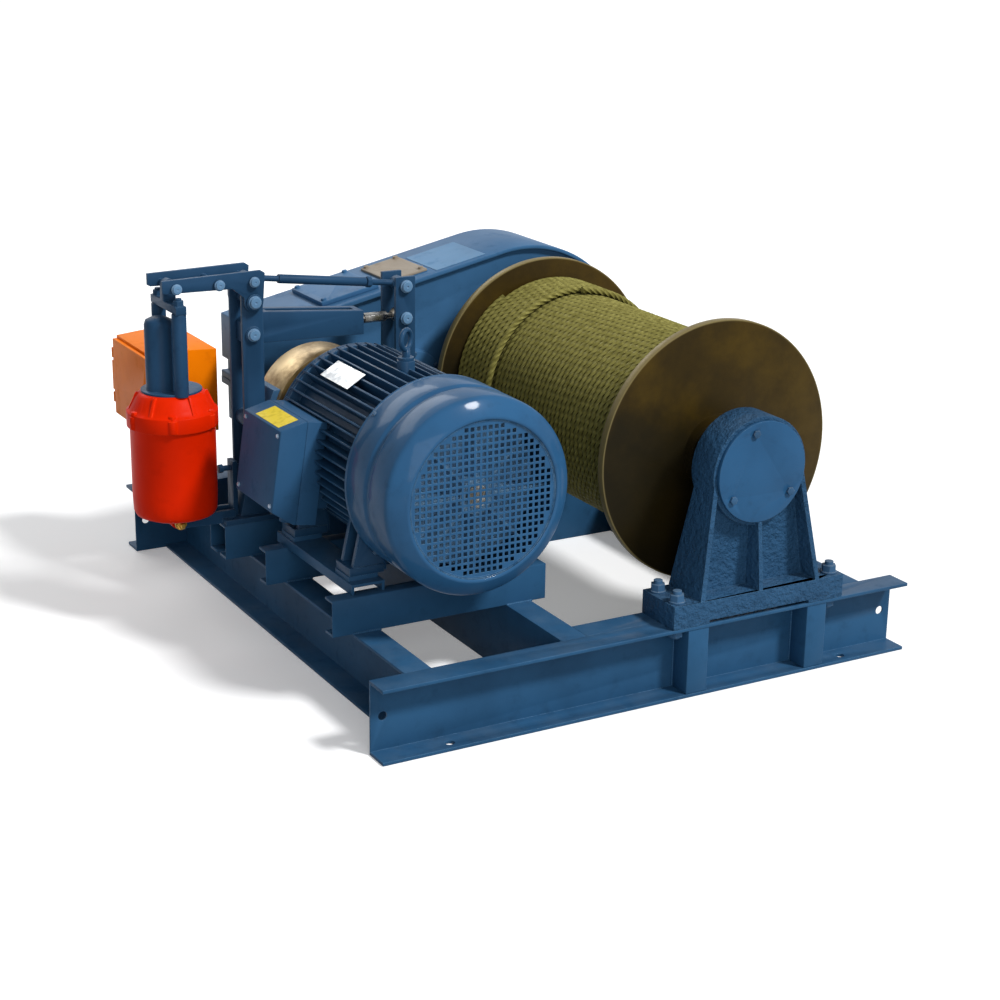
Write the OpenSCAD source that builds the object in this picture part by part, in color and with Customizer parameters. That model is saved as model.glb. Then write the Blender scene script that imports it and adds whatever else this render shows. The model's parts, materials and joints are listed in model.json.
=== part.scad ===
// Electric rope winch with a shoe brake, a three-stage gearbox and an outboard drum bearing.
// Millimetres, Z up. Sizes are given in the winch's own layout frame: X runs right along the
// front beam from its left end, Y runs back along the shafts from the front beam's web, and
// Z rises from the floor. place() then moves the finished piece so that the origin is at the
// bottom centre of the whole winch.

/* [Base frame] */
// Length of the front and back beams
frame_length = 1632; // [1600:1:1760]
// Distance between the webs of the front and back beams
frame_depth = 1682; // [1660:1:1760]
// Height of the large channel
channel_h = 200; // [190:1:210]
// Flange width of the large channel
channel_b = 76; // [72:1:80]
// Web thickness of the large channel
channel_web = 5.2; // [4:0.1:8]
// Flange thickness of the large channel
channel_flange = 9; // [7:0.1:12]
// Left end of the frame to the outside of the left side beam
left_beam_x = 96; // [80:1:110]
// Left end of the frame to the web of the middle beam
middle_beam_x = 550; // [530:1:560]
// Left end of the frame to the back of the right side beam's web
right_beam_x = 1520; // [1505:1:1540]
// Height of the small channel under motor and brake
small_h = 100; // [90:1:110]
// Flange width of the small channel
small_b = 46; // [42:1:50]
// Web thickness of the small channel
small_web = 4.5; // [4:0.1:6]
// Flange thickness of the small channel
small_flange = 7.6; // [6:0.1:9]
// Diameter of the anchor holes in the bottom flanges
anchor_hole_d = 26; // [18:1:30]
// End of the beam to its anchor hole
anchor_inset = 200; // [150:1:240]
// Diameter of the holes through the beam ends
web_hole_d = 24; // [16:1:30]
// Beam end to the hole through its web
web_hole_inset = 34; // [24:1:50]

/* [Shafts] */
// Height of all shafts above the floor
shaft_z = 590; // [588:1:600]
// Left end of the frame to the motor axis
motor_x = 355; // [350:1:360]

/* [Drum and rope] */
// Front face of the near drum flange
drum_front_y = 159; // [150:1:170]
// Free length between the drum flanges
drum_width = 892; // [860:1:900]
// Radius of the drum flanges
flange_r = 363; // [345:1:370]
// Thickness of the drum flanges
flange_t = 25; // [15:1:30]
// Radius of the bare barrel
barrel_r = 228; // [215:1:235]
// Wall of the barrel
barrel_wall = 18; // [12:1:25]
// Radius of the drum shaft in the hubs
drum_shaft_r = 62; // [58:1:66]
// Radius of the hubs in the flanges
hub_r = 105; // [95:1:115]
// Length of each hub
hub_len = 60; // [45:1:70]
// Outer radius of the full rope layer
rope_r = 290; // [280:1:300]
// Extra radius of the part layer beside the far flange
layer_step = 21; // [18:1:24]
// Turns shown over the whole drum
rope_turns = 24; // [16:1:24]
// Turns of the part layer beside the far flange
upper_turns = 5; // [3:1:7]
// Gap between neighbouring turns
rope_gap = 1.2; // [0.8:0.1:3]
// Length of the rope's free end
rope_tail = 75; // [60:1:120]

/* [Pedestal] */
// Half length of the pedestal base
base_half = 277; // [265:1:290]
// Height of the pedestal base
base_h = 66; // [55:1:75]
// Length of the relief under the base
relief_len = 327; // [280:1:360]
// Height of the relief under the base
relief_h = 10; // [6:1:14]
// Outer radius of the bearing housing
housing_r = 148; // [142:1:152]
// Depth of the housing in front of the frame's web plane
housing_front = 41; // [36:1:46]
// Depth of the housing behind the frame's web plane
housing_back = 60; // [54:1:66]
// Half spacing of the walls' feet
wall_foot = 195; // [185:1:196]
// Thickness of the sloping walls
wall_t = 14; // [10:1:20]
// Half depth of the walls at the housing
wall_top_half = 40; // [34:1:46]
// Radius of the bearing cover
cover_disc_r = 138; // [130:1:141]
// Thickness of the bearing cover
cover_disc_t = 12; // [8:1:16]
// Half spacing of the holding-down bolts along the beam
base_bolt_x = 250; // [249:1:254]
// Half spacing of the holding-down bolts across the beam
base_bolt_y = 45; // [40:1:52]
// Diameter of the holding-down bolts
base_bolt_d = 24; // [16:1:26]

/* [Gearbox] */
// Drum's far flange to the front casing wall
case_gap = 114; // [104:1:124]
// Depth of the casing over its walls
case_depth = 270; // [266:1:284]
// Thickness of the front and back casing walls
case_wall = 25; // [20:1:28]
// Thickness of the casing shell
case_shell = 12; // [8:1:16]
// Overhang of the split flange and of the top plate
case_rim = 15; // [10:1:20]
// Thickness of each split flange
split_t = 20; // [14:1:24]
// Motor axis to the left end of the casing
case_left = 110; // [95:1:118]
// Height of the casing's left end above the shafts
case_left_h = 184; // [170:1:200]
// Radius of the casing around the large gear
case_r = 368; // [362:1:372]
// Module of the first gear stage
module_1 = 5; // [4.9:0.05:5.1]
// Module of the second gear stage
module_2 = 8; // [7.9:0.05:8.1]
// Module of the third gear stage
module_3 = 10; // [9.9:0.05:10.1]
// Play between the teeth on the pitch circle
tooth_play = 0.5; // [0.3:0.05:0.8]
// Face width of the first stage gear
face_1 = 30; // [24:1:34]
// Face width of the second stage gear
face_2 = 50; // [42:1:54]
// Face width of the third stage gear
face_3 = 90; // [80:1:94]

/* [Motor] */
// Front of the fan cowl
cowl_y = 66; // [60:1:75]
// Radius of the fan cowl
cowl_r = 262; // [256:1:266]
// Length of the fan cowl
cowl_len = 264; // [250:1:270]
// Radius of the flat grille
grille_r = 213; // [200:1:220]
// Pitch of the square holes in the grille
grille_pitch = 24; // [20:0.5:30]
// Side of the square holes in the grille
grille_hole = 15; // [10:0.5:18]
// Back end of the finned body
body_end_y = 806; // [796:1:812]
// Root radius of the finned body
fin_root_r = 206; // [200:1:212]
// Tip radius of the fins
fin_tip_r = 242; // [232:1:248]
// Number of fins around the body
fin_count = 52; // [40:4:60]
// Half spacing of the foot bolts across the motor
foot_x = 203; // [198:1:208]
// Y of the front foot bolts
foot_y = 375; // [370:1:380]
// Spacing of the foot bolts along the motor
foot_pitch = 349; // [340:1:354]
// Height of the motor rails
rail_h = 28; // [24:1:34]
// Width of the motor rails
rail_w = 95; // [88:1:104]
// Length of the motor rails
rail_len = 480; // [460:1:490]
// Thickness of the packing under the feet
packing_t = 12; // [6:1:14]
// Radius of the motor shaft at the coupling
motor_shaft_r = 32.5; // [28:0.5:36]
// Radius of the rotor core
rotor_r = 118; // [110:1:124]
// Air gap between rotor and stator
air_gap = 0.8; // [0.5:0.1:1.2]
// Tilt of the terminal box
box_tilt = 8; // [0:1:12]
// Height of the terminal box
box_h = 282; // [262:1:290]
// Length of the terminal box
box_len = 246; // [236:1:248]

/* [Brake] */
// Middle plane of the brake
brake_y = 1021; // [1015:1:1025]
// Radius of the brake wheel
wheel_r = 182; // [178:1:184]
// Width of the brake wheel
wheel_w = 140; // [130:1:146]
// Running gap of the brake lining
lining_gap = 0.5; // [0.4:0.1:1]
// Half spacing of the brake arms
arm_x = 236; // [232:1:242]
// Width of the brake arms
arm_w = 62; // [56:1:66]
// Overall depth of a brake arm
arm_depth = 100; // [94:1:104]
// Thickness of the arm plates
arm_t = 12; // [8:1:14]
// Height of the arms' lower pins
arm_foot_z = 410; // [402:1:418]
// Height of the lever's pivot on the left arm
lever_pivot_z = 937; // [930:1:945]
// Tie rod pin above the lever's pivot
tie_rise = 57; // [52:1:62]
// Height of the tie rod's pin on the right arm
tie_right_z = 936; // [930:1:942]
// Height of the brake spring and of its pins
spring_z = 843; // [838:1:848]
// Curls of the brake spring
spring_curls = 14; // [8:1:16]
// Mean radius of the brake spring
spring_r = 21; // [20:0.5:22]
// Wire radius of the brake spring
wire_r = 4; // [3:0.1:4.5]
// Radius of the brake's large pins
pin_r = 14; // [11:0.5:16]

/* [Thruster] */
// Motor axis to the thruster axis
thruster_reach = 461; // [455:1:466]
// Height of the thruster's foot pin
thruster_foot_z = 320; // [316:1:324]
// Radius of the thruster body
thruster_r = 118; // [112:1:120]
// Radius of the thruster's bolted rim
thruster_rim_r = 132; // [128:1:134]
// Bottom of the thruster body
thruster_z = 343; // [340:1:346]
// Bottom of the rim
rim_z = 605; // [598:1:610]
// Top of the thruster's red cover
thruster_top_z = 700; // [692:1:704]
// Top of the rod tubes
tube_top_z = 929; // [920:1:931]
// Half spacing of the lifting rods
rod_half = 78; // [74:1:82]
// Play of the lever's pin in the crosshead
link_play = 1.8; // [1.4:0.1:2.5]

/* [Control box] */
// Width of the control box across the winch
cabinet_w = 205; // [190:1:215]
// Length of the control box along the winch
cabinet_l = 300; // [280:1:310]
// Height of the control box at its low side
cabinet_h = 250; // [230:1:265]
// Rise of its sloping roof
cabinet_rise = 8; // [0:1:30]
// Sheet thickness of the control box
cabinet_sheet = 3; // [2:0.5:4]

/* [Hidden] */
$fn = 64;
paint = [0.21, 0.38, 0.55];
dark_paint = [0.14, 0.24, 0.36];
steel = [0.62, 0.64, 0.66];
olive = [0.30, 0.27, 0.14];
rope_tan = [0.56, 0.55, 0.27];
red = [0.88, 0.19, 0.02];
orange = [0.95, 0.50, 0.05];
bronze = [0.62, 0.52, 0.34];
copper = [0.70, 0.38, 0.20];

// Running fit of a shaft in a bearing, on the radius
fit = 0.05;
// Gap between parts that move past each other
slide_gap = 1;
// Overlap that fuses two shapes of one piece
fuse = 1;

pressure_angle = 25;
teeth_1 = [15, 43];
teeth_2 = [14, 44];
teeth_3 = [12, 66];
centre_1 = module_1 * (teeth_1[0] + teeth_1[1]) / 2;
centre_2 = module_2 * (teeth_2[0] + teeth_2[1]) / 2;
centre_3 = module_3 * (teeth_3[0] + teeth_3[1]) / 2;
shaft_1_x = motor_x + centre_1;
shaft_2_x = shaft_1_x + centre_2;
drum_x = shaft_2_x + centre_3;

drum_back_y = drum_front_y + 2 * flange_t + drum_width;
case_y = drum_back_y + case_gap;
rope_front_y = drum_front_y + flange_t;
rope_back_y = rope_front_y + drum_width;
motor_beam_y = [foot_y - 87, foot_y + foot_pitch - 5];
small_top = channel_h + small_h;
rail_top = small_top + rail_h;
thruster_x = motor_x - thruster_reach;
case_back_y = case_y + case_depth;
inner_front_y = case_y + case_wall;
inner_back_y = case_back_y - case_wall;
tie_top_z = lever_pivot_z + tie_rise;

// The winch's reach on each side gives the origin at the bottom centre
reach_left = thruster_x - thruster_rim_r;
reach_front = -channel_b;
reach_back = frame_depth + channel_b;
module place() {
    translate([-(reach_left + frame_length) / 2, -(reach_front + reach_back) / 2, 0]) children();
}

// Turns a shape with its axis along Z into one that points back along Y
module along_y(x, y, z) {
    translate([x, y, z]) rotate([-90, 0, 0]) children();
}

// A round bar or hole along Y
module bar_y(x, z, y0, y1, r) {
    along_y(x, y0, z) cylinder(h = y1 - y0, r = r);
}

// A round bar or hole along Z
module bar_z(x, y, z0, z1, r) {
    translate([x, y, z0]) cylinder(h = z1 - z0, r = r);
}

// A hexagon head or nut along Z
module hex_z(x, y, z0, z1, r) {
    translate([x, y, z0]) cylinder(h = z1 - z0, r = r, $fn = 6);
}

// An outline drawn in X and Z, thickened from y0 to y1
module slab_y(y0, y1) {
    translate([0, y1, 0]) rotate([90, 0, 0]) linear_extrude(y1 - y0) children();
}

// An outline drawn in Y and Z, thickened from x0 to x1
module slab_x(x0, x1) {
    translate([x0, 0, 0]) rotate([90, 0, 90]) linear_extrude(x1 - x0) children();
}

// A box between two corners
module box(a, b) {
    translate(a) cube(b - a);
}

// A ring about an axis along Y
module ring_y(x, z, y0, y1, r_out, r_in) {
    difference() {
        bar_y(x, z, y0, y1, r_out);
        bar_y(x, z, y0 - fuse, y1 + fuse, r_in);
    }
}

// Section of a channel with its web on the left and its flanges to the right
module channel_section(h, b, web, flange) {
    polygon([[0, 0], [b, 0], [b, flange], [web, flange], [web, h - flange], [b, h - flange],
        [b, h], [0, h]]);
}
module large_section() {
    channel_section(channel_h, channel_b, channel_web, channel_flange);
}
module small_section() {
    channel_section(small_h, small_b, small_web, small_flange);
}

// Points of a six-sided ring about centre c, with n and b spanning its plane
function ring_points(c, n, b, r) = [for (k = [0:5]) c + r * (cos(60 * k) * n + sin(60 * k) * b)];

// One closed tube through a list of rings
module tube(rings) {
    count = len(rings);
    sides = [for (i = [0:count - 2], k = [0:5], half = [0, 1])
        let (a = 6 * i + k, b = 6 * i + (k + 1) % 6)
        half == 0 ? [a, b, b + 6] : [a, b + 6, a + 6]];
    first = [for (k = [1:4]) [0, k + 1, k]];
    last = [for (k = [1:4]) [6 * (count - 1), 6 * (count - 1) + k, 6 * (count - 1) + k + 1]];
    polyhedron(points = [for (r = rings) each r], faces = concat(sides, first, last));
}

// Least distance between points of rings that lie about one turn apart
function turn_gap(rings, per_turn) = min([for (i = [0:len(rings) - 1 - per_turn],
    j = [max(0, i + per_turn - 1):min(len(rings) - 1, i + per_turn + 1)], a = rings[i], b = rings[j])
    norm(a - b)]);

// The frame

module front_beam() {
    place() color(paint) difference() {
        mirror([0, 1, 0]) slab_x(0, frame_length) large_section();
        for (x = [web_hole_inset, frame_length - web_hole_inset])
            bar_y(x, channel_h / 2, -channel_web - fuse, fuse, web_hole_d / 2);
        for (x = [anchor_inset, frame_length - anchor_inset])
            bar_z(x, -channel_b * 0.6, -fuse, channel_flange + fuse, anchor_hole_d / 2);
        for (s = [-1, 1])
            bar_z(drum_x + s * base_bolt_x, -base_bolt_y, channel_h - channel_flange - fuse,
                channel_h + fuse, base_bolt_d / 2 + slide_gap);
    }
}

module back_beam() {
    place() color(paint) difference() {
        translate([0, frame_depth, 0]) slab_x(0, frame_length) large_section();
        for (x = [web_hole_inset, frame_length - web_hole_inset])
            bar_y(x, channel_h / 2, frame_depth - fuse, frame_depth + channel_web + fuse,
                web_hole_d / 2);
        for (x = [anchor_inset, frame_length - anchor_inset])
            bar_z(x, frame_depth + channel_b * 0.6, -fuse, channel_flange + fuse,
                anchor_hole_d / 2);
    }
}

// A channel along Y from the front web to the back web, its flanges to the right
module side_channel() {
    slab_y(0, frame_depth) large_section();
}

module left_side_beam() {
    place() color(paint) translate([left_beam_x + channel_b, 0, 0]) mirror([1, 0, 0]) side_channel();
}

module middle_beam() {
    place() color(paint) translate([middle_beam_x, 0, 0]) side_channel();
}

module right_side_beam() {
    place() color(paint) translate([right_beam_x, 0, 0]) mirror([1, 0, 0]) side_channel();
}

// The space between the flange tips of the middle beam and the right side beam
bay_left = middle_beam_x + channel_b;
bay_right = right_beam_x - channel_b;

module front_doubler() {
    place() color(paint) difference() {
        slab_x(bay_left, bay_right) large_section();
        for (s = [-1, 1])
            bar_z(drum_x + s * base_bolt_x, base_bolt_y, channel_h - channel_flange - fuse,
                channel_h + fuse, base_bolt_d / 2 + slide_gap);
    }
}

// Front and back feet of the gearbox rest on these
foot_reach = 45;
foot_bolt_reach = 0.45 * foot_reach;
case_bolt_r = 10;
case_foot_x = [bay_left + 60, bay_right - 60];

// Places a shape drawn up from Z = 0 at each of the gearbox's four foot bolts
module at_case_bolts() {
    for (x = case_foot_x, y = [case_y - foot_bolt_reach, case_back_y + foot_bolt_reach])
        translate([x, y, 0]) children();
}

module gearbox_cross_members() {
    place() color(paint) difference() {
        union() {
            translate([0, case_y - foot_reach, 0]) slab_x(bay_left, bay_right) large_section();
            translate([0, case_back_y + foot_reach, 0]) mirror([0, 1, 0])
                slab_x(bay_left, bay_right) large_section();
        }
        at_case_bolts() bar_z(0, 0, channel_h - channel_flange - fuse, channel_h + fuse,
            case_bolt_r + slide_gap);
    }
}

small_beam_left = left_beam_x - 60;
small_beam_right = middle_beam_x + 120;
rail_wall = 8;
rail_y = (motor_beam_y[0] + motor_beam_y[1] + small_b) / 2 - rail_len / 2 + 18;
rail_centre_x = foot_x + 6;
module motor_rails() {
    foot_half = rail_w / 2 - 6;
    place() color(paint) for (s = [-1, 1]) {
        x = motor_x + s * rail_centre_x;
        difference() {
            box([x - rail_w / 2, rail_y, small_top], [x + rail_w / 2, rail_y + rail_len, rail_top]);
            box([x - rail_w / 2 + rail_wall, rail_y - fuse, small_top - fuse],
                [x + rail_w / 2 - rail_wall, rail_y + rail_len + fuse, rail_top - rail_wall]);
            for (y = [foot_y, foot_y + foot_pitch])
                bar_z(motor_x + s * foot_x, y, small_top, rail_top + fuse, foot_bolt_r + slide_gap);
        }
        for (y = [foot_y, foot_y + foot_pitch]) difference() {
            box([x - foot_half, y - foot_half_len, rail_top],
                [x + foot_half, y + foot_half_len, rail_top + packing_t]);
            bar_z(motor_x + s * foot_x, y, rail_top - fuse, rail_top + packing_t + fuse,
                foot_bolt_r + slide_gap);
        }
    }
}

stiffener_w = 65;
stiffener_t = 6;
module front_stiffeners() {
    front = -channel_b + 2;
    place() color(paint) for (s = [-1, 1]) difference() {
        box([drum_x + s * wall_foot - stiffener_w / 2, front, channel_flange],
            [drum_x + s * wall_foot + stiffener_w / 2, -channel_web, channel_h - channel_flange]);
        box([drum_x + s * wall_foot - stiffener_w / 2 + stiffener_t, front + stiffener_t, 0],
            [drum_x + s * wall_foot + stiffener_w / 2 - stiffener_t, 0, channel_h]);
    }
}

stand_left = motor_x - 339;
module cross_beams() {
    place() color(paint) {
        for (y = motor_beam_y) translate([0, y, channel_h])
            slab_x(small_beam_left, small_beam_right) small_section();
        for (s = [-1, 1]) translate([0, brake_y + s * (36 + small_b / 2), channel_h])
            mirror([0, s > 0 ? 1 : 0, 0]) slab_x(stand_left, small_beam_right) small_section();
    }
}

// The pedestal

base_depth = channel_b;
bearing_out_r = 100;
bearing_in_r = 55;
cover_bolt_r = 112;
cover_bolt_angles = [105, 215, 325];

module pedestal_walls() {
    top_z = shaft_z;
    low_z = channel_h + base_h - fuse;
    lean = wall_foot - (housing_r - wall_t / 2);
    intersection() {
        union() {
            for (s = [-1, 1]) slab_y(-base_depth, base_depth)
                polygon([for (p = [[0, low_z], [wall_t, low_z], [wall_t - lean, top_z], [-lean, top_z]])
                    [drum_x + s * (wall_foot - wall_t + p[0]), p[1]]]);
            box([drum_x - 6, -base_depth, low_z], [drum_x + 6, base_depth, top_z]);
        }
        slab_x(drum_x - base_half, drum_x + base_half)
            polygon([[-base_depth, low_z], [base_depth, low_z], [wall_top_half, top_z],
                [-wall_top_half, top_z]]);
    }
}

module pedestal() {
    place() color(paint) difference() {
        union() {
            box([drum_x - base_half, -base_depth, channel_h],
                [drum_x + base_half, base_depth, channel_h + base_h]);
            pedestal_walls();
            slab_y(-10, 10) polygon([[drum_x - wall_foot + 4, channel_h + base_h - fuse],
                [drum_x + wall_foot - 4, channel_h + base_h - fuse],
                [drum_x + housing_r - wall_t, shaft_z], [drum_x - housing_r + wall_t, shaft_z]]);
            bar_y(drum_x, shaft_z, -housing_front, housing_back, housing_r);
        }
        bar_y(drum_x, shaft_z, -housing_front - fuse, housing_back - 15, bearing_out_r);
        bar_y(drum_x, shaft_z, 0, housing_back + fuse, bearing_in_r + 12);
        bar_y(drum_x, shaft_z, -base_depth - fuse, -housing_front, cover_disc_r + slide_gap);
        box([drum_x - relief_len / 2, -base_depth - fuse, channel_h - fuse],
            [drum_x + relief_len / 2, base_depth + fuse, channel_h + relief_h]);
        for (s = [-1, 1], t = [-1, 1])
            bar_z(drum_x + s * base_bolt_x, t * base_bolt_y, channel_h - fuse,
                channel_h + base_h + fuse, base_bolt_d / 2 + slide_gap);
        for (a = cover_bolt_angles)
            bar_y(drum_x + cover_bolt_r * cos(a), shaft_z + cover_bolt_r * sin(a),
                -housing_front - fuse, -housing_front + 22, 6);
    }
}

cover_face_y = -housing_front - cover_disc_t;
module pedestal_cover() {
    place() color(paint) difference() {
        union() {
            bar_y(drum_x, shaft_z, cover_face_y, -housing_front, cover_disc_r);
            ring_y(drum_x, shaft_z, -housing_front - fuse, -housing_front + 8, bearing_out_r - 0.5,
                bearing_out_r - 12);
        }
        for (a = cover_bolt_angles)
            bar_y(drum_x + cover_bolt_r * cos(a), shaft_z + cover_bolt_r * sin(a),
                cover_face_y - fuse, -housing_front + fuse, 6.5);
    }
}

pedestal_bearing_y = -housing_front + 8;
module pedestal_bearing() {
    place() color(steel)
        ring_y(drum_x, shaft_z, pedestal_bearing_y, housing_back - 15, bearing_out_r,
            bearing_in_r + fit);
}

module pedestal_bolts() {
    nut = base_bolt_d * 0.8;
    nut_r = base_bolt_d * 0.85;
    low = channel_h - channel_flange - nut;
    high = channel_h + base_h;
    place() color(steel) {
        for (s = [-1, 1], t = [-1, 1]) {
            x = drum_x + s * base_bolt_x;
            y = t * base_bolt_y;
            bar_z(x, y, low - 6, high + nut + 14, base_bolt_d / 2);
            hex_z(x, y, low, channel_h - channel_flange, nut_r);
            hex_z(x, y, high + 4, high + 4 + nut, nut_r);
            bar_z(x, y, high, high + 4 + fuse, nut_r + 2);
        }
        for (a = cover_bolt_angles)
            along_y(drum_x + cover_bolt_r * cos(a), cover_face_y, shaft_z + cover_bolt_r * sin(a)) {
                translate([0, 0, -8]) cylinder(h = 8, r = 11, $fn = 6);
                translate([0, 0, -fuse]) cylinder(h = cover_disc_t + 20, r = 6);
            }
    }
}

// The drum and its rope

module drum_shell() {
    place() color(olive)
        ring_y(drum_x, shaft_z, rope_front_y, rope_back_y, barrel_r, barrel_r - barrel_wall);
}

// A flange with its hub on the side given by out: -1 towards the front, 1 towards the back
module drum_flange(y0, out) {
    hub_y = out < 0 ? y0 + flange_t - hub_len : y0;
    difference() {
        union() {
            bar_y(drum_x, shaft_z, y0, y0 + flange_t, flange_r);
            bar_y(drum_x, shaft_z, hub_y, hub_y + hub_len, hub_r);
        }
        bar_y(drum_x, shaft_z, y0 - hub_len, y0 + flange_t + hub_len, drum_shaft_r);
    }
}

module near_flange() {
    place() color(olive) drum_flange(drum_front_y, -1);
}

module far_flange() {
    place() color(olive) drum_flange(rope_back_y, 1);
}

gear_3_y = inner_front_y + 15;
gear_2_y = gear_3_y + face_3 + 15;
gear_1_y = gear_2_y + face_2 + 12;
drum_bearing_r = 120;
drum_journal_r = 60;
module drum_shaft() {
    place() color(steel) {
        bar_y(drum_x, shaft_z, pedestal_bearing_y - 4, drum_front_y - 60, bearing_in_r);
        bar_y(drum_x, shaft_z, drum_front_y - 60, drum_back_y + hub_len, drum_shaft_r);
        bar_y(drum_x, shaft_z, drum_back_y + hub_len, inner_back_y + case_wall - 2, drum_journal_r);
    }
}

turn_pitch = drum_width / rope_turns;
strand_r = (turn_pitch - rope_gap) / 2 / sin(60);
rings_per_turn = 24;
upper_r = rope_r + layer_step - strand_r;
lower_r = rope_r - strand_r;
ring_facet = cos(180 / rings_per_turn);
core_gap = 0.3;
clamp_w = turn_pitch - 3;
clamp_angle = 50;

// Radius of the rope's middle after a number of turns from the far flange
function winding_r(turn) = turn < upper_turns ? upper_r
    : turn > upper_turns + 0.5 ? lower_r
    : upper_r + (lower_r - upper_r) * (1 - cos(360 * (turn - upper_turns))) / 2;

// Rings of the winding: the free end, the turns from back to front, the straight clamped end
wound_rings = let (first = clamp_angle, total = (rope_turns - 1) * rings_per_turn,
    radial = function (a) [cos(a), 0, sin(a)], run = function (a) [-sin(a), 0, cos(a)],
    end = first + (rope_turns - 1) * 360, start_y = rope_back_y - turn_pitch / 2)
    concat(
        [for (s = [rope_tail, rope_tail / 2])
            ring_points([0, start_y, 0] + upper_r * radial(first) - s * run(first), radial(first),
                [0, 1, 0], strand_r)],
        [for (i = [0:total]) let (turn = i / rings_per_turn, a = first + 360 * turn)
            ring_points([0, start_y - turn_pitch * turn, 0] + winding_r(turn) * radial(a), radial(a),
                [0, 1, 0], strand_r)],
        [ring_points([0, start_y - turn_pitch * (rope_turns - 1), 0] + lower_r * radial(end)
            + 2 * strand_r * run(end), radial(end), [0, 1, 0], strand_r)]);
echo(least_gap_of_the_winding = turn_gap(wound_rings, rings_per_turn));

module rope_winding() {
    place() color(rope_tan) translate([drum_x, 0, shaft_z]) tube(wound_rings);
}

core_lower = (lower_r - strand_r) * ring_facet - core_gap;
core_upper = (upper_r - strand_r) * ring_facet - core_gap;
core_step_y = rope_back_y - upper_turns * turn_pitch;
module rope_core() {
    place() color(rope_tan) {
        ring_y(drum_x, shaft_z, rope_front_y, core_step_y, core_lower, barrel_r);
        ring_y(drum_x, shaft_z, core_step_y, rope_back_y, core_upper, barrel_r);
    }
}

module rope_clamp() {
    end_angle = clamp_angle + (rope_turns - 1) * 360;
    place() color(dark_paint) translate([drum_x, 0, shaft_z]) rotate([0, -end_angle, 0])
        box([core_lower + core_gap, rope_front_y, 2 * strand_r],
            [lower_r + strand_r + 4, rope_front_y + clamp_w, 2 * strand_r + 48]);
}

// The gearbox

function inv_angle(a) = tan(a) * 180 / PI - a;
function polar(r, a) = r * [cos(a), sin(a)];

// Involute gear outline; a tooth of an odd gear, or a gap of an even driven gear, faces left
function gear_outline(m, z, turn) = let (pitch_r = m * z / 2, base_r = pitch_r * cos(pressure_angle),
    tip_r = pitch_r + m, root_r = pitch_r - 1.25 * m, start_r = max(base_r, root_r),
    half = (PI * m - tooth_play) / 4 / pitch_r * 180 / PI + inv_angle(pressure_angle),
    flank = [for (k = [0:4]) let (r = start_r + (tip_r - start_r) * k / 4)
        [r, half - inv_angle(acos(base_r / r))]],
    foot = root_r < base_r ? [[root_r, flank[0][1]]] : [],
    side = concat(foot, flank), top = len(side) - 1)
    [for (i = [0:z - 1]) let (a = turn + 360 * i / z)
        each concat([for (p = side) polar(p[0], a - p[1])],
            [for (k = [top:-1:0]) polar(side[k][0], a + side[k][1])])];

// A gear about the shaft at x, turned so that it meets a tooth coming from its left
module gear(m, z, x, y0, y1, driven) {
    turn = driven && z % 2 == 0 ? 180 / z : 0;
    slab_y(y0, y1) translate([x, shaft_z]) polygon(gear_outline(m, z, turn));
}

case_left_x = motor_x - case_left;
shaft_xs = [motor_x, shaft_1_x, shaft_2_x, drum_x];
journal_r = [30, 32, 42, drum_journal_r];
case_bearing_r = [48, 58, 78, drum_bearing_r];
boss_out = case_rim;

// Side view of the casing above the shafts, drawn in by shrink, seen from the drum axis
module casing_outline(shrink, corner_h) {
    r = case_r - shrink;
    corner = [case_left_x - drum_x + shrink, corner_h - shrink];
    touch = r * [cos(atan2(corner[1], corner[0]) - acos(r / norm(corner))),
        sin(atan2(corner[1], corner[0]) - acos(r / norm(corner)))];
    intersection() {
        union() {
            circle(r);
            polygon([[0, 0], touch, corner, [corner[0], 0]]);
        }
        translate([-2 * case_r - drum_x, 0]) square([4 * case_r + 2 * drum_x, 2 * case_r]);
    }
}

case_low_h = 130;
module upper_outline(shrink) {
    translate([drum_x, shaft_z]) casing_outline(shrink, case_left_h);
}
module lower_outline(shrink) {
    translate([drum_x, shaft_z]) mirror([0, 1]) casing_outline(shrink, case_low_h);
}

// The flange around the split, between heights z0 and z1
module split_flange(z0, z1) {
    box([case_left_x - case_rim, case_y - case_rim, z0],
        [drum_x + case_r + case_rim, case_back_y + case_rim, z1]);
}

module bearing_bosses() {
    for (i = [0:3])
        bar_y(shaft_xs[i], shaft_z, case_y - boss_out, case_back_y + boss_out,
            case_bearing_r[i] + 14);
}
module bearing_bores() {
    for (i = [0:3])
        bar_y(shaft_xs[i], shaft_z, case_y - boss_out - fuse, case_back_y + boss_out + fuse,
            case_bearing_r[i]);
}

case_foot_t = 22;
module gearbox_case() {
    foot_z = channel_h + case_foot_t;
    place() color(paint) difference() {
        union() {
            slab_y(case_y, case_back_y) lower_outline(0);
            split_flange(shaft_z - split_t, shaft_z);
            intersection() {
                bearing_bosses();
                box([0, 0, 0], [2 * frame_length, 2 * frame_depth, shaft_z]);
            }
            for (y = [case_y, case_back_y - case_wall])
                box([case_foot_x[0] - 30, y, channel_h], [case_foot_x[1] + 30, y + case_wall,
                    shaft_z - 160]);
            box([case_foot_x[0] - 30, case_y - foot_reach, channel_h],
                [case_foot_x[1] + 30, case_y + case_wall, foot_z]);
            box([case_foot_x[0] - 30, case_back_y - case_wall, channel_h],
                [case_foot_x[1] + 30, case_back_y + foot_reach, foot_z]);
        }
        slab_y(inner_front_y, inner_back_y) lower_outline(case_shell);
        bearing_bores();
        at_case_bolts() bar_z(0, 0, channel_h - fuse, foot_z + fuse, case_bolt_r + slide_gap);
    }
}

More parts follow.
